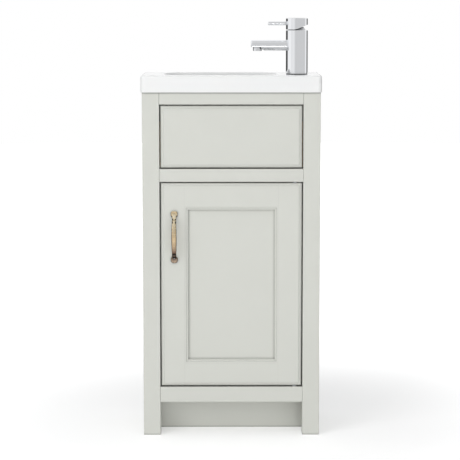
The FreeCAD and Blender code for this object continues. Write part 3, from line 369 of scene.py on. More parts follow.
def make_beech():
    """Plain beech: short darker flecks along an even, pinkish grain."""
    wood = Finish("plain beech", Specular_IOR_Level=0.3)
    along = (3.0, 3.0, 0.4)
    grain = wood.mottle(size=60.0, contrast=0.5, stretch=(4.0, 4.0, 0.35))
    fleck = wood.level(wood.mottle(size=420.0, contrast=0.25, stretch=along), 0.0, 0.4)
    body = wood.blend(grain, linear(222, 203, 176), linear(208, 184, 152))
    return wood.done(
        wood.blend(fleck, body, linear(178, 148, 116)), wood.level(grain, 0.5, 0.65),
        relief_size=300.0, relief_depth=0.2, stretch=along)


UPRIGHT, LEVEL = "painted_wood", "painted_level"
finishes = {
    UPRIGHT: make_paint("satin paint, upright", (4.0, 4.0, 0.12)),
    LEVEL: make_paint("satin paint, level", (0.12, 4.0, 4.0)),
    "bare_beech": make_beech(),
    "glazed_white": make_glaze(),
    "bright_chrome": make_chrome("bright chrome", reach=0.010, hardness=2.0),
    "shaded_chrome": make_chrome("bright chrome, in shade", reach=0.020, hardness=0.8),
    "aged_brass": make_aged_brass(),
    "raw_brass": make_metal(
        "machined brass", BRASS, BRASS_SHADE, polish=(0.18, 0.32), size=60.0, depth=0.08,
        stretch=(1.0, 1.0, 6.0)),
    "plated_brass": make_plated_brass(),
    "zinc_steel": make_metal(
        "zinc plated steel", linear(196, 199, 202), linear(176, 181, 188), polish=(0.25, 0.42),
        size=120.0, depth=0.06),
    "black_rubber": make_moulded(
        "black rubber", linear(44, 44, 45), linear(54, 54, 55), polish=(0.62, 0.78)),
    "white_nylon": make_moulded(
        "white nylon", linear(232, 232, 226), linear(224, 224, 217), polish=(0.38, 0.5)),
    "grey_plastic": make_moulded(
        "grey plastic", linear(112, 115, 118), linear(98, 101, 104), polish=(0.35, 0.5)),
    "dark_magnet": make_metal(
        "sintered magnet", linear(66, 66, 70), linear(52, 52, 55), polish=(0.5, 0.7), size=300.0,
        depth=0.2),
}

LEVEL_BOARDS = (
    "top_rail", "middle_rail", "bottom_rail", "door_top_rail", "door_bottom_rail",
    "plinth_board", "wall_fixing_rail", "rear_bottom_rail", "shelf", "base_panel",
)


def dress(piece, finish):
    """Give a piece one finish all over."""
    piece.data.materials.clear()
    piece.data.materials.append(finishes[finish])


def dress_cad_nodes():
    """Each carried-over piece gets the finish of its slot; boards follow their own length."""
    for part in frame["record"]["subparts"]:
        name = part["node"]
        dress(nodes[name], LEVEL if name in LEVEL_BOARDS else part["material_slot"])


dress_cad_nodes()
dress(nodes["cartridge_collar"], "shaded_chrome")


# The maker's moves on a whole piece

def metres(*place):
    """A place or a shift given in millimetres, turned into metres."""
    return [value * MM for value in place]


def middle_of(low, high):
    """The place, in metres, half way between two that are given in millimetres."""
    return metres(*((a + b) / 2 for a, b in zip(low, high)))


def clear_choice():
    """Nothing selected, so the next operator acts on its own piece only."""
    bpy.ops.object.select_all(action="DESELECT")


def hold(piece):
    """Select one piece and nothing else."""
    clear_choice()
    piece.select_set(True)
    bpy.context.view_layer.objects.active = piece


def named(name):
    """The primitive just added, renamed, with its place moved into its mesh."""
    piece = bpy.context.object
    piece.name = name
    piece.data.name = name
    bpy.ops.object.transform_apply(location=True, rotation=True, scale=True)
    return piece


TURN_TO = {"X": (0.0, math.pi / 2, 0.0), "Y": (math.pi / 2, 0.0, 0.0), "Z": (0.0, 0.0, 0.0)}


def round_bar(name, radius, start, end, sides):
    """A round bar in millimetres between two points that lie along one axis."""
    clear_choice()
    axis = next(letter for letter, a, b in zip("XYZ", start, end) if a != b)
    bpy.ops.mesh.primitive_cylinder_add(
        vertices=sides, radius=radius * MM, depth=math.dist(start, end) * MM,
        location=middle_of(start, end), rotation=TURN_TO[axis])
    return named(name)


def plain_block(name, low, high):
    """A squared block in millimetres between its lowest and highest corners."""
    clear_choice()
    bpy.ops.mesh.primitive_cube_add(size=1.0, location=middle_of(low, high))
    bpy.context.object.scale = metres(*(b - a for a, b in zip(low, high)))
    return named(name)


def work(piece, label, kind, **settings):
    """Work a piece with one modifier and apply it."""
    hold(piece)
    step = piece.modifiers.new(label, kind)
    for name, value in settings.items():
        setattr(step, name, value)
    bpy.ops.object.modifier_apply(modifier=step.name)
    return piece


def combine(piece, tool, how):
    """Cut one piece with another, or join them, and throw the tool away."""
    work(piece, "combine", "BOOLEAN", operation=how, object=tool, solver="EXACT")
    bpy.data.objects.remove(tool)
    return piece


def soften(piece, width, segments, angle):
    """Ease the edges of a piece that are sharper than an angle, by a width in millimetres."""
    return work(
        piece, "eased edges", "BEVEL", width=width * MM, segments=segments, limit_method="ANGLE",
        angle_limit=math.radians(angle))


def smooth(piece, angle):
    """Smooth shading that keeps the edges sharper than an angle crisp."""
    hold(piece)
    bpy.ops.object.shade_smooth_by_angle(angle=math.radians(angle))
    return work(piece, "true flats", "WEIGHTED_NORMAL", keep_sharp=True, weight=80)


def subdivide_smooth(piece):
    """A piece with a subdivision surface, applied, and smooth shading."""
    work(piece, "smooth form", "SUBSURF", levels=2, render_levels=2)
    bpy.ops.object.shade_smooth()
    return piece


def join_into(piece, others):
    """Make several shapes one piece."""
    hold(piece)
    for other in others:
        other.select_set(True)
    bpy.ops.object.join()
    return piece


def fit(piece, body, finish, stands_for=()):
    """Give a finished piece its finish and its body, and hide the CAD nodes that it stands for."""
    clear_choice()
    dress(piece, finish)
    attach(piece, body)
    if stands_for:
        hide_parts(*stands_for)
    return piece


# The maker's moves on an open piece

CHOICE_MODES = {"verts": "VERT", "edges": "EDGE", "faces": "FACE"}


def take_up(piece, mode="FACE"):
    """Open a piece for shaping, with all of it selected."""
    hold(piece)
    bpy.ops.object.mode_set(mode="EDIT")
    bpy.ops.mesh.select_mode(type=mode)
    bpy.ops.mesh.select_all(action="SELECT")


def put_down():
    """Close the open piece."""
    bpy.ops.object.mode_set(mode="OBJECT")


def choose(piece, kind, test):
    """Select only the faces, edges or corners of the open piece that pass the test."""
    bpy.ops.mesh.select_mode(type=CHOICE_MODES[kind])
    bpy.ops.mesh.select_all(action="DESELECT")
    mesh = bmesh.from_edit_mesh(piece.data)
    for item in getattr(mesh, kind):
        item.select_set(bool(test(item)))
    mesh.select_flush_mode()
    bmesh.update_edit_mesh(piece.data)


def edge_at(**place):
    """A test for the edges that lie wholly at a place on one axis, or on two."""
    def test(edge):
        return all(
            abs(getattr(corner.co, axis) - value * MM) < NEAR
            for corner in edge.verts for axis, value in place.items())
    return test


def round_end(way):
    """A test for a bar's flat round end, the upper one (1) or the lower one (-1)."""
    return lambda face: way * face.normal.z > 0.99 and len(face.verts) > 8


def faces_forward(face):
    """A test for the faces that look out of the front."""
    return face.normal.y < -0.9


def round_off(piece, test, width, segments, profile=0.5):
    """Round the edges that pass the test by a width in millimetres."""
    choose(piece, "edges", test)
    bpy.ops.mesh.bevel(offset=width * MM, segments=segments, profile=profile, affect="EDGES")


def extrude(*shift):
    """Draw the selected faces out by a shift in millimetres."""
    bpy.ops.mesh.extrude_region_move(TRANSFORM_OT_translate={"value": metres(*shift)})


def turn(degrees, axis, centre):
    """Turn what is selected about an axis through a centre."""
    bpy.ops.transform.rotate(
        value=math.radians(degrees), orient_axis=axis, orient_type="GLOBAL", center_override=centre)


def score(x):
    """Cut a ring of new edges round the open piece, at one place from left to right."""
    bpy.ops.mesh.select_all(action="SELECT")
    bpy.ops.mesh.bisect(plane_co=metres(x, 0.0, 0.0), plane_no=(1.0, 0.0, 0.0))


# Mixer

TAP_X, TAP_Y = 155.0, -3.5
TAP_RADIUS, TAP_RIM_EASE, TAP_FOOT_EASE, MOUTH_RADIUS, MOUTH_DEPTH = 25.75, 1.2, 0.5, 17.6, 12.0
TAP_BASE, TAP_TOP = 851.0, 953.4
SPOUT_Z, SPOUT_RADIUS, SPOUT_TIP, SPOUT_TIP_EASE = 917.5, 12.5, 47.0, 2.6
TIP_UNDERSIDE, TIP_BEND_START, TIP_BEND_END = 913.6, 70.0, 78.0
AERATOR_X, AERATOR_RADIUS, AERATOR_MOUTH, AERATOR_TOP = 61.8, 10.4, 904.2, 917.5
CAP_FLOOR, CAP_TOP = 954.8, 981.5
WEDGE_START, WEDGE_RISE, WEDGE_BEND = 4.0, 11.6, 4.9
HOLLOW_RADIUS, LIFT_PIVOT_Z = 23.0, 944.4
GRUB_Z, GRUB_RADIUS = 969.2, 2.55
LEVER_Z, LEVER_RADIUS, LEVER_END = 969.0, 4.5, 87.25
END_EASE = 1.3
GROOVE_START, GROOVE_END, GROOVE_DEPTH = -0.9, -0.2, 0.35


def make_spout():
    """The spout: a round bar, its tip eased, its underside drawn up to the aerator."""
    spout = round_bar("spout", SPOUT_RADIUS, (SPOUT_TIP, TAP_Y, SPOUT_Z), (TAP_X, TAP_Y, SPOUT_Z), 128)
    take_up(spout)
    round_off(spout, edge_at(x=SPOUT_TIP), SPOUT_TIP_EASE, 8)
    put_down()
    past_tip, half_width, below = 9, 20, 25
    relief = plain_block(
        "tip_relief", (SPOUT_TIP - past_tip, TAP_Y - half_width, SPOUT_Z - below),
        (TIP_BEND_END, TAP_Y + half_width, TIP_UNDERSIDE))
    take_up(relief)
    round_off(
        relief, edge_at(x=TIP_BEND_END, z=TIP_UNDERSIDE), TIP_BEND_END - TIP_BEND_START, 12, 0.12)
    put_down()
    combine(spout, relief, "DIFFERENCE")
    play, below, depth = 0.1, 5, 4.05
    seat = round_bar(
        "aerator_seat", AERATOR_RADIUS + play, (AERATOR_X, TAP_Y, TIP_UNDERSIDE - below),
        (AERATOR_X, TAP_Y, TIP_UNDERSIDE + depth), 64)
    return combine(spout, seat, "DIFFERENCE")


def make_tap_body():
    """The mixer's column with its eased rims and open mouth, the spout grown out of its side."""
    column = round_bar("mixer_body", TAP_RADIUS, (TAP_X, TAP_Y, TAP_BASE), (TAP_X, TAP_Y, TAP_TOP), 192)
    take_up(column)
    round_off(column, edge_at(z=TAP_TOP), TAP_RIM_EASE, 5)
    round_off(column, edge_at(z=TAP_BASE), TAP_FOOT_EASE, 3)
    choose(column, "faces", round_end(1))
    bpy.ops.mesh.inset(thickness=(TAP_RADIUS - TAP_RIM_EASE - MOUTH_RADIUS) * MM)
    extrude(0.0, 0.0, -MOUTH_DEPTH)
    put_down()
    combine(column, make_spout(), "UNION")
    return fit(smooth(column, angle=32.0), "cabinet", "bright_chrome", ("tap_body",))


def make_cap():
    """The lever's cap: eased rim, domed hollow, and the wedge that lets it tip back."""
    cap = round_bar("lever_cap_shell", TAP_RADIUS, (TAP_X, TAP_Y, CAP_FLOOR), (TAP_X, TAP_Y, CAP_TOP), 192)
    take_up(cap)
    round_off(cap, edge_at(z=CAP_TOP), END_EASE, 6)
    put_down()
    left, right, half_width, below, top = TAP_X - 45, TAP_X + 36, 32, 12, CAP_FLOOR - 0.05
    bend = TAP_X - WEDGE_START
    wedge = plain_block(
        "wedge", (left, TAP_Y - half_width, CAP_FLOOR - below), (right, TAP_Y + half_width, top))
    take_up(wedge)
    score(bend)
    choose(wedge, "edges", edge_at(x=right, z=top))
    rise = (right - bend) * WEDGE_RISE / (TAP_RADIUS + WEDGE_START)
    bpy.ops.transform.translate(value=metres(0.0, 0.0, rise))
    round_off(wedge, edge_at(x=bend, z=top), WEDGE_BEND, 10)
    put_down()
    combine(cap, wedge, "DIFFERENCE")
    clear_choice()
    bpy.ops.mesh.primitive_uv_sphere_add(
        segments=96, ring_count=48, radius=HOLLOW_RADIUS * MM, location=metres(TAP_X, TAP_Y, LIFT_PIVOT_Z))
    combine(cap, named("domed_hollow"), "DIFFERENCE")
    inside, outside = TAP_Y + 12, TAP_Y + 27
    grub_hole = round_bar("grub_hole", GRUB_RADIUS, (TAP_X, inside, GRUB_Z), (TAP_X, outside, GRUB_Z), 32)
    combine(cap, grub_hole, "DIFFERENCE")
    return fit(smooth(cap, angle=32.0), "tap_lever", "bright_chrome", ("lever_cap",))


def make_lever_pin():
    """The pin lever: a slim bar with a rounded end and a fine seating groove at the cap."""
    cap_side, inside = TAP_X - TAP_RADIUS, 3
    pin = round_bar(
        "pin_lever", LEVER_RADIUS, (LEVER_END, TAP_Y, LEVER_Z), (cap_side + inside, TAP_Y, LEVER_Z), 64)
    take_up(pin)
    round_off(pin, edge_at(x=LEVER_END), END_EASE, 6)
    score(cap_side + GROOVE_START)
    score(cap_side + GROOVE_END)
    choose(pin, "faces", lambda face: all(
        (cap_side - 1) * MM < corner.co.x < cap_side * MM for corner in face.verts))
    bpy.ops.mesh.extrude_region_shrink_fatten(TRANSFORM_OT_shrink_fatten={"value": -GROOVE_DEPTH * MM})
    put_down()
    return fit(smooth(pin, angle=35.0), "tap_lever", "bright_chrome", ("lever_pin",))


def make_aerator():
    """The aerator's ring, with its eased and hollowed mouth and two spanner flats."""
    wall, hollow, ease = 1.1, 3.0, 0.7
    ring = round_bar(
        "aerator_sleeve", AERATOR_RADIUS, (AERATOR_X, TAP_Y, AERATOR_MOUTH),
        (AERATOR_X, TAP_Y, AERATOR_TOP), 96)
    take_up(ring)
    round_off(ring, edge_at(z=AERATOR_MOUTH), ease, 3)
    choose(ring, "faces", round_end(-1))
    bpy.ops.mesh.inset(thickness=wall * MM)
    extrude(0.0, 0.0, hollow)
    put_down()
    half_long, off_axis, half_thick, below, tall = 4.5, 13, 3.3, 1, 5.0
    for side in (-1, 1):
        middle = TAP_Y + side * off_axis
        flat = plain_block(
            "spanner_flat", (AERATOR_X - half_long, middle - half_thick, AERATOR_MOUTH - below),
            (AERATOR_X + half_long, middle + half_thick, AERATOR_MOUTH + tall))
        combine(ring, flat, "DIFFERENCE")
    fit(smooth(ring, angle=30.0), "cabinet", "shaded_chrome", ("aerator_ring",))


make_tap_body()
make_cap()
make_lever_pin()
make_aerator()


# Door handle

HANDLE_X, HANDLE_Z = -133.5, 473.5
RING_SIDES = 16
Ring = namedtuple("Ring", "height reach lean width thickness squareness")
# Along the bow from the upper foot: height over the middle, reach from the door, lean of the
# ring in degrees (0 faces out of the door, 90 faces down), width, thickness, squareness.
UPPER_RINGS = [Ring(*values) for values in (
    (53.6, 0.0, 0, 15.8, 15.4, 1.16),
    (53.6, 1.0, 0, 16.4, 16.0, 1.16),
    (53.6, 2.7, 0, 16.2, 15.8, 1.16),
    (53.4, 3.5, 0, 14.4, 14.0, 1.12),
    (51.0, 3.8, 8, 11.6, 10.4, 1.0),
    (48.4, 5.6, 22, 10.4, 9.8, 1.0),
    (45.8, 9.2, 36, 9.8, 10.0, 1.0),
    (43.2, 13.2, 50, 9.8, 9.6, 1.0),
    (39.4, 17.2, 62, 10.0, 8.8, 1.0),
    (33.4, 20.4, 74, 10.6, 7.8, 1.0),
    (24.0, 22.6, 82, 11.6, 7.4, 1.0),
    (12.0, 23.8, 87, 12.4, 7.4, 1.0),
    (0.0, 24.1, 90, 12.6, 7.4, 1.0),
)]
LOWER_RINGS = [
    ring._replace(height=-ring.height, lean=180 - ring.lean) for ring in reversed(UPPER_RINGS[:-1])]


def square_up(bow, place, ring, ratio):
    """Push the corners of a ring that faces out of the door outwards, or draw them back."""
    def in_plane(corner):
        return abs(corner.co.y - place.y) < 1e-6

    for corner_turn, share in ((45.0, 1.0), (22.5, 0.4), (67.5, 0.4)):
        def at_turn(corner):
            across = abs(corner.co.x - place.x) / ring.width
            along = abs(corner.co.z - place.z) / ring.thickness
            return in_plane(corner) and abs(math.degrees(math.atan2(along, across)) - corner_turn) < 8.0
        choose(bow, "verts", at_turn)
        scale = 1.0 + (ratio - 1.0) * share
        bpy.ops.transform.resize(value=(scale, 1.0, scale), center_override=place)
    choose(bow, "faces", lambda face: (
        len(face.verts) == RING_SIDES and all(in_plane(corner) for corner in face.verts)
        and (face.calc_center_median() - place).length < 2 * MM))


def ring_place(ring):
    """The middle of one of the handle's rings."""
    return Vector((HANDLE_X, DOOR_FACE - ring.reach, HANDLE_Z + ring.height)) * MM


def make_handle():
    """The bow handle: two cushion feet, round necks and a grip that swells to its middle."""
    clear_choice()
    last = UPPER_RINGS[0]
    place = ring_place(last)
    bpy.ops.mesh.primitive_circle_add(
        vertices=RING_SIDES, radius=0.5 * MM, fill_type="NGON", location=place, rotation=TURN_TO["Y"])
    bow = named("bow_handle")
    take_up(bow)
    bpy.ops.transform.resize(value=(last.width, 1.0, last.thickness), center_override=place)
    square_up(bow, place, last, last.squareness)
    for ring in UPPER_RINGS[1:] + LOWER_RINGS:
        extrude(0.0, last.reach - ring.reach, ring.height - last.height)
        place = ring_place(ring)
        turn(-last.lean, "X", place)
        bpy.ops.transform.resize(
            value=(ring.width / last.width, 1.0, ring.thickness / last.thickness), center_override=place)
        if ring.squareness != last.squareness:
            square_up(bow, place, ring, ring.squareness / last.squareness)
        turn(ring.lean, "X", place)
        last = ring
    bpy.ops.mesh.select_all(action="SELECT")
    bpy.ops.mesh.normals_make_consistent(inside=False)
    bpy.ops.mesh.flip_normals()
    put_down()
    return fit(subdivide_smooth(bow), "door", "aged_brass", ("door_handle",))


make_handle()


# Turned and threaded pieces

WASTE_AXIS = (-25.5, 13.75)


def turned(name, axis, rings, sides, hollow):
    """A lathe form on an upright axis, from rings of radius and height; a hollow one ends at its first."""
    clear_choice()
    (radius, height), (x, y) = rings[0], axis
    bpy.ops.mesh.primitive_circle_add(
        vertices=sides, radius=radius * MM, fill_type="NOTHING" if hollow else "NGON",
        location=metres(x, y, height))
    form = named(name)
    take_up(form, "EDGE" if hollow else "FACE")
    draw = bpy.ops.mesh.extrude_edges_move if hollow else bpy.ops.mesh.extrude_region_move
    for next_radius, next_height in rings[1:] + (rings[:1] if hollow else []):
        draw(TRANSFORM_OT_translate={"value": metres(0.0, 0.0, next_height - height)})
        growth = next_radius / radius
        bpy.ops.transform.resize(
            value=(growth, growth, 1.0), center_override=metres(x, y, next_height))
        radius, height = next_radius, next_height
    bpy.ops.mesh.select_all(action="SELECT")
    bpy.ops.mesh.remove_doubles(threshold=0.01 * MM)
    bpy.ops.mesh.normals_make_consistent(inside=False)
    put_down()
    return form


def thread(low, high, crest, root, pitch):
    """The rings of a thread from its lowest turn to its highest."""
    rings = []
    for lap in range(int((high - low) / pitch)):
        rings += [(crest, low + lap * pitch), (root, low + (lap + 0.5) * pitch)]
    return rings + [(crest, high)]


def make_guide(bore):
    """The plug's guide: a hub on three arms that end inside the wall of the waste."""
    x, y = WASTE_AXIS
    low, high, hub_radius, stem_radius, overrun = 731.0, 745.0, 7.0, 4.05, 1
    arm_start, into_wall, half_thick = 2, 1.7, 1.75
    hub = round_bar("guide_hub", hub_radius, (x, y, low), (x, y, high), 48)
    for arm in range(3):
        rib = plain_block(
            "guide_arm", (x + arm_start, y - half_thick, low), (x + bore + into_wall, y + half_thick, high))
        take_up(rib)
        turn(120 * arm, "Z", metres(x, y, low))
        put_down()
        combine(hub, rib, "UNION")
    stem_bore = round_bar("stem_bore", stem_radius, (x, y, low - overrun), (x, y, high + overrun), 48)
    combine(hub, stem_bore, "DIFFERENCE")
    return soften(hub, width=0.4, segments=2, angle=60.0)


def make_waste():
    """The waste: countersunk flange, plain neck, threaded tail and the plug's three-armed guide."""
    bore, tail, neck, flange, groove, pitch = 17.5, 20.95, 21.5, 31.0, 0.75, 2.31
    foot, neck_foot, seat, top = 667.0, 733.0, 757.0, 760.0
    rings = [(bore, foot), (tail - 1.0, foot)]
    rings += thread(foot + 1.2, neck_foot - 1.5, tail, tail - groove, pitch)
    rings += [
        (tail, neck_foot), (neck, neck_foot), (neck, seat), (flange, seat), (flange, seat + 0.9),
        (flange - 0.4, seat + 1.5), (flange - 2.4, top - 0.2), (flange - 3.0, top), (bore + 3.1, top),
        (bore + 2.5, top - 0.4), (bore, seat),
    ]
    waste = turned("threaded_waste", WASTE_AXIS, rings, 96, True)
    join_into(waste, [make_guide(bore)])
    fit(smooth(waste, angle=32.0), "cabinet", "plated_brass", ("waste_body",))


def make_stud():
    """The mixer's fixing stud, threaded from its lower end up to the deck's underside."""
    behind_axis, crest, root, pitch = 9.0, 4.0, 3.45, 1.25
    foot, thread_top, top = 805.0, 839.8, 863.0
    rings = [(crest - 0.7, foot)] + thread(foot + 0.8, thread_top, crest, root, pitch)
    rings += [(crest, top - 0.6), (crest - 0.5, top)]
    stud = turned("threaded_stud", (TAP_X, TAP_Y - behind_axis), rings, 32, False)
    fit(smooth(stud, angle=50.0), "cabinet", "zinc_steel", ("tap_fixing_stud",))


# Screws

HANDLE_SCREW_HEIGHTS = (425.5, 521.5)
UPPER_SCREW_X, UPPER_SCREW_HEIGHTS = 157.5, (658.0, 720.0)


def cross_recess(head, x, face, z, reach, depth):
    """Cut the driver's cross into a screw head that faces the back."""
    half_slot, overrun = 0.55, 0.5
    for across, tall in ((reach, half_slot), (half_slot, reach)):
        slot = plain_block(
            "recess", (x - across, face - depth, z - tall), (x + across, face + overrun, z + tall))
        combine(head, slot, "DIFFERENCE")


def add_shank(head, radius, x, z, tip, end):
    """Run a screw's shank from its tip in front to its end inside the head."""
    return combine(head, round_bar("shank", radius, (x, tip, z), (x, end, z), 24), "UNION")


def make_pan_screw(name, x, z):
    """A pan head with its cross recess, and the shank that runs through the stile."""
    face, radius, shank_radius, tip = -69.3, 4.0, 2.0, -100.5
    head = round_bar(name, radius, (x, DOOR_BACK, z), (x, face, z), 48)
    take_up(head)
    round_off(head, edge_at(y=face), END_EASE, 5)
    put_down()
    cross_recess(head, x, face, z, reach=2.1, depth=1.3)
    return add_shank(head, shank_radius, x, z, tip, DOOR_BACK + 0.5)


def make_wood_screw(name, x, z):
    """A countersunk screw from behind, its head flush with the block."""
    face, radius, shank_radius, depth, tip = -59.5, 3.5, 1.75, 2.0, -83.0
    clear_choice()
    bpy.ops.mesh.primitive_cone_add(
        vertices=48, radius1=shank_radius * MM, radius2=radius * MM, depth=depth * MM,
        location=metres(x, face - depth / 2, z), rotation=(-math.pi / 2, 0.0, 0.0))
    head = named(name)
    cross_recess(head, x, face, z, reach=1.7, depth=1.1)
    return add_shank(head, shank_radius, x, z, tip, face - 1.8)


def fit_screws(screws, body, node):
    """Make a set of screws one piece and fit it."""
    fit(smooth(join_into(screws[0], screws[1:]), angle=35.0), body, "zinc_steel", (node,))


def make_screws():
    """The handle's two screws and the four that hold the upper front to its blocks."""
    pair = [make_pan_screw("handle_pan_screws", HANDLE_X, z) for z in HANDLE_SCREW_HEIGHTS]
    fit_screws(pair, "door", "handle_screws")
    four = [
        make_wood_screw("upper_front_screws", x, z)
        for x in (-UPPER_SCREW_X, UPPER_SCREW_X) for z in UPPER_SCREW_HEIGHTS]
    fit_screws(four, "cabinet", "false_front_screws")


make_waste()
make_stud()
make_screws()


# Joinery

FRONT_HALF_WIDTH = 164.5
MARGIN_WIDTH, MARGIN_DROP, STEP_WIDTH, FIELD_STEP = 6.6, 4.2, 0.35, 0.9
UPPER_FRONT_BOTTOM, UPPER_FRONT_TOP = 636.0, 780.0
DOOR_BOTTOM, DOOR_TOP = 119.0, 600.0
OPENING_SIDE, OPENING_BOTTOM, OPENING_TOP = 110.0, 173.5, 545.5
PANEL_GROOVE = (-118.3, -85.6, 165.2), (118.3, -76.4, 553.8)
MOULDING_FACE, MOULDING_BACK = -93.4, -85.5
# Width and depth of each step of the moulding, from the boards in to the panel
MOULDING_STEPS = (3.3, 0.0), (0.6, -1.5), (4.1, -0.3), (0.35, -5.5), (2.8, -0.2)
PANEL_OPENING = (-98.5, -95.0, 185.0), (98.5, -80.0, 534.0)
# Arrows that show the saw which side to keep
RIGHT, LEFT, UP, DOWN = (1.0, 0.0, 0.0), (-1.0, 0.0, 0.0), (0.0, 0.0, 1.0), (0.0, 0.0, -1.0)


def saw(piece, place, keep):
    """Saw a piece through a place in millimetres and keep the side that the arrow points to."""
    take_up(piece)
    bpy.ops.mesh.bisect(plane_co=metres(*place), plane_no=keep, use_fill=True, clear_inner=True)
    put_down()


def fielded_front(name, bottom, top):
    """A slab with a sloping margin round its front and a fine step up to the raised field."""
    slab = plain_block(name, (-FRONT_HALF_WIDTH, DOOR_FACE, bottom), (FRONT_HALF_WIDTH, DOOR_BACK, top))
    take_up(slab)
    choose(slab, "faces", faces_forward)
    bpy.ops.mesh.inset(thickness=MARGIN_WIDTH * MM)
    bpy.ops.mesh.inset(thickness=STEP_WIDTH * MM)
    slack = 0.05

    def from_rim(corner):
        x, z = corner.co.x / MM, corner.co.z / MM
        return min(FRONT_HALF_WIDTH - abs(x), z - bottom, top - z)

    for margin, depth in ((0.0, MARGIN_DROP), (MARGIN_WIDTH, FIELD_STEP)):
        choose(slab, "verts", lambda corner: (
            corner.co.y < (DOOR_FACE + slack) * MM and abs(from_rim(corner) - margin) < slack))
        bpy.ops.transform.translate(value=metres(0.0, depth, 0.0))
    put_down()
    return slab


def make_upper_front():
    """The fixed false drawer front."""
    front = fielded_front("upper_front", UPPER_FRONT_BOTTOM, UPPER_FRONT_TOP)
    fit(soften(front, width=0.4, segments=2, angle=62.0), "cabinet", LEVEL, ("false_drawer_front",))


def make_door_boards():
    """The door's stiles and rails, sawn from one margined outline so that the margins mitre."""
    left_cut, right_cut = (-OPENING_SIDE, 0, 0), (OPENING_SIDE, 0, 0)
    boards = (
        ("left_door_stile", "door_left_stile", UPRIGHT, ((left_cut, LEFT),)),
        ("right_door_stile", "door_right_stile", UPRIGHT, ((right_cut, RIGHT),)),
        ("upper_door_rail", "door_top_rail", LEVEL,
         ((left_cut, RIGHT), (right_cut, LEFT), ((0, 0, OPENING_TOP), UP))),
        ("lower_door_rail", "door_bottom_rail", LEVEL,
         ((left_cut, RIGHT), (right_cut, LEFT), ((0, 0, OPENING_BOTTOM), DOWN))),
    )
    for name, node, finish, cuts in boards:
        board = soften(
            fielded_front(name, DOOR_BOTTOM, DOOR_TOP), width=0.4, segments=2, angle=62.0)
        for place, keep in cuts:
            saw(board, place, keep)
        combine(board, plain_block("panel_groove", *PANEL_GROOVE), "DIFFERENCE")
        fit(soften(board, width=0.12, segments=1, angle=62.0), "door", finish, (node,))


def make_panel_moulding():
    """The moulding round the panel: lip, quirk, sloping band and a square step to the panel."""
    moulding = plain_block(
        "panel_bead", (-OPENING_SIDE, MOULDING_FACE, OPENING_BOTTOM),
        (OPENING_SIDE, MOULDING_BACK, OPENING_TOP))
    take_up(moulding)
    choose(moulding, "faces", faces_forward)
    for width, depth in MOULDING_STEPS:
        bpy.ops.mesh.inset(thickness=width * MM, depth=depth * MM)
    put_down()
    combine(moulding, plain_block("panel_opening", *PANEL_OPENING), "DIFFERENCE")
    fit(soften(moulding, width=0.15, segments=2, angle=50.0), "door", LEVEL, ("door_panel_moulding",))


def ease_cad_boards():
    """Broken arrises on the boards that keep their CAD shape, so that every joint shows."""
    for name in (
            "left_front_post", "right_front_post", "top_rail", "middle_rail", "bottom_rail", "plinth_board",
            "rear_bottom_rail", "shelf"):
        board = nodes[name]
        merge = board.modifiers.new("joined corners", "WELD")
        merge.merge_threshold = NEAR
        ease = board.modifiers.new("broken arrises", "BEVEL")
        ease.width = 0.55 * MM
        ease.segments = 2
        ease.limit_method = "ANGLE"
        ease.angle_limit = math.radians(40.0)


make_upper_front()
make_door_boards()
make_panel_moulding()
ease_cad_boards()


# Stop beads

STOP_BEADS = (
    ("left_stop_bead", (-167.5, -63.0, 117.0), (-157.5, -54.0, 602.0)),
    ("right_stop_bead", (157.5, -63.0, 117.0), (167.5, -54.0, 602.0)),
    ("head_stop_bead", (-157.5, -63.0, 586.0), (157.5, -54.0, 612.0)),
    ("rail_bead", (-147.4, -71.4, 627.0), (147.4, -62.0, 646.0)),
    ("upper_left_bead", (-167.5, -71.4, 742.2), (-157.5, -62.0, 783.0)),
    ("upper_right_bead", (157.5, -71.4, 742.2), (167.5, -62.0, 783.0)),
)
CATCH_NOTCH = (-168.5, -64.0, 533.4), (-150.0, -53.0, 578.6)
RAIL_BEAD_ENDS = (-167.4, -71.4, 627.0), (167.4, -62.0, 635.8)


def make_stop_beads():
    """Slim beads behind the gaps round the door and the upper front; the left one clears the catch."""
    for name, low, high in STOP_BEADS:
        bead = plain_block(name, low, high)
        if name == "left_stop_bead":
            combine(bead, plain_block("catch_notch", *CATCH_NOTCH), "DIFFERENCE")
        if name == "rail_bead":
            combine(bead, plain_block("ends", *RAIL_BEAD_ENDS), "UNION")
        soften(bead, width=1.0, segments=3, angle=30.0)
        fit(smooth(bead, angle=40.0), "cabinet", UPRIGHT)


make_stop_beads()


# Studio, in metres

# Round the unit from behind, over its left, front and right: degrees and how grey the wall is there
WALLS = (
    (-180, 0.07), (-118, 0.07), (-111, 1.00), (-72, 1.00), (-60, 0.87), (-36, 0.92), (-24, 0.80),
    (-15, 0.66), (0, 0.68), (84, 0.68), (94, 0.70), (101, 1.00), (116, 1.00), (122, 0.28), (180, 0.10),
)
# Each lamp's name, place, aim, width and height, and watts
LAMPS = (
    ("key_light", (-2.2, -2.6, 2.2), (0.0, 0.0, 0.5), (2.2, 2.2), 43.2),
    ("fill_light", (1.9, -2.9, 0.7), (0.0, 0.0, 0.3), (1.8, 1.2), 8.5),
    ("low_light", (0.1, -3.0, 0.28), (0.0, 0.0, 0.03), (1.6, 0.4), 21.0),
    ("top_light", (0.0, -0.2, 3.2), (0.0, 0.0, 0.4), (2.6, 2.6), 17.0),
)


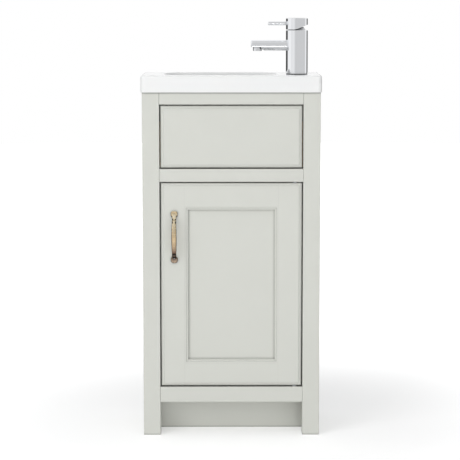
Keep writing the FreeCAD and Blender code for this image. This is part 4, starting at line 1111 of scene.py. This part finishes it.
def make_floor():
    """A pale floor that takes the unit's soft shadow and runs into the white behind."""
    pale = Finish(
        "pale studio floor", Base_Color=(0.88, 0.88, 0.88, 1.0), Roughness=0.9, Specular_IOR_Level=0.1,
        Emission_Color=WHITE)
    tree = pale.tree
    ray = add_node(tree, "LightPath", (-900, -200)).outputs
    mirrored = maths(tree, "MULTIPLY", (-700, -200), ray["Is Glossy Ray"], 0.3)
    seen = maths(tree, "MAXIMUM", (-500, -200), ray["Is Camera Ray"], mirrored)
    shown = maths(tree, "MAXIMUM", (-350, -200), seen, ray["Is Transmission Ray"])
    place = add_node(tree, "TexCoord", (-900, -500)).outputs["Object"]
    away = add_node(tree, "VectorMath", (-700, -500), {0: place}, operation="LENGTH").outputs["Value"]
    spread = fade(tree, (-500, -500), away, 0.35, 1.5, 0.40, 1.0, SMOOTH)
    pale.feed("Emission Strength", maths(tree, "MULTIPLY", (-150, -200), shown, spread))
    clear_choice()
    bpy.ops.mesh.primitive_circle_add(vertices=96, radius=7.0, fill_type="NGON", location=(0.0, 1.5, 0.0))
    floor = named("studio_floor")
    floor.data.materials.append(pale.material)


def make_world():
    """White behind the unit; grey and white studio walls for the metal to mirror."""
    world = bpy.data.worlds.new("studio surround")
    scene.world = world
    world.use_nodes = True
    tree = world.node_tree
    tree.nodes.clear()

    def background(place, colour, strength=1.0):
        return add_node(tree, "Background", place, {"Color": colour, "Strength": strength}).outputs[0]

    def change_over(place, mask, first, second):
        return add_node(tree, "MixShader", place, {0: mask, 1: first, 2: second}).outputs[0]

    toward = split(tree, (-900, 0), "TexCoord", "Generated")
    forward = maths(tree, "MULTIPLY", (-550, -120), toward["Y"], -1.0)
    angle = maths(tree, "ARCTAN2", (-400, 0), toward["X"], forward)
    walls = colour_ramp(tree, (-50, 0), fade(tree, (-250, 0), angle, -math.pi, math.pi), [
        ((degrees + 180) / 360, (grey, grey, grey, 1.0)) for degrees, grey in WALLS])
    above_floor = fade(tree, (-400, -250), toward["Z"], 0.005, 0.03, curve=SMOOTH)
    behind = fade(tree, (-400, -500), toward["Y"], 0.0, 0.3, curve=SMOOTH)
    backdrop = maths(tree, "MULTIPLY", (-200, -350), above_floor, behind)
    overhead = fade(tree, (-400, -750), toward["Z"], 0.86, 0.97, high=0.4, curve=SMOOTH)
    lit = maths(tree, "MAXIMUM", (-50, -450), backdrop, overhead)
    mirrored = background((300, 0), mix_colours(tree, (120, -50), lit, walls, WHITE))
    ambient = background((300, -200), (0.98, 0.99, 1.0, 1.0), 0.35)
    ray = add_node(tree, "LightPath", (0, 500)).outputs
    direct = maths(tree, "MAXIMUM", (300, 400), ray["Is Camera Ray"], ray["Is Transmission Ray"])
    round_about = change_over((500, 0), ray["Is Glossy Ray"], ambient, mirrored)
    shown = change_over((700, 0), direct, round_about, background((300, 200), WHITE))
    add_node(tree, "OutputWorld", (900, 0), {"Surface": shown})


def add_softbox(name, place, aim, size, watts):
    """A large soft lamp pointed at a place on the unit."""
    lamp = bpy.data.lights.new(name, "AREA")
    lamp.shape = "RECTANGLE"
    lamp.size, lamp.size_y = size
    lamp.energy = watts
    box = bpy.data.objects.new(name, lamp)
    scene.collection.objects.link(box)
    box.location = place
    box.rotation_euler = (Vector(aim) - Vector(place)).to_track_quat("-Z", "Y").to_euler()
    box.visible_glossy = False


def make_camera():
    """The photograph's viewpoint: a little above the tap, left of the unit's middle and far back."""
    looks_down, looks_right = 6.834, 0.347
    lens = bpy.data.cameras.new("view")
    lens.lens = 131.96
    lens.sensor_width = 36.0
    lens.shift_x = -0.0138
    lens.shift_y = -0.0490
    lens.clip_end = 100.0
    camera = bpy.data.objects.new("view", lens)
    camera.location = (-0.012, -4.0, 1.011)
    camera.rotation_euler = (math.radians(90 - looks_down), 0.0, math.radians(-looks_right))
    scene.collection.objects.link(camera)
    scene.camera = camera


make_floor()
make_world()
for lamp_values in LAMPS:
    add_softbox(*lamp_values)
make_camera()
scene.view_settings.view_transform = "Standard"
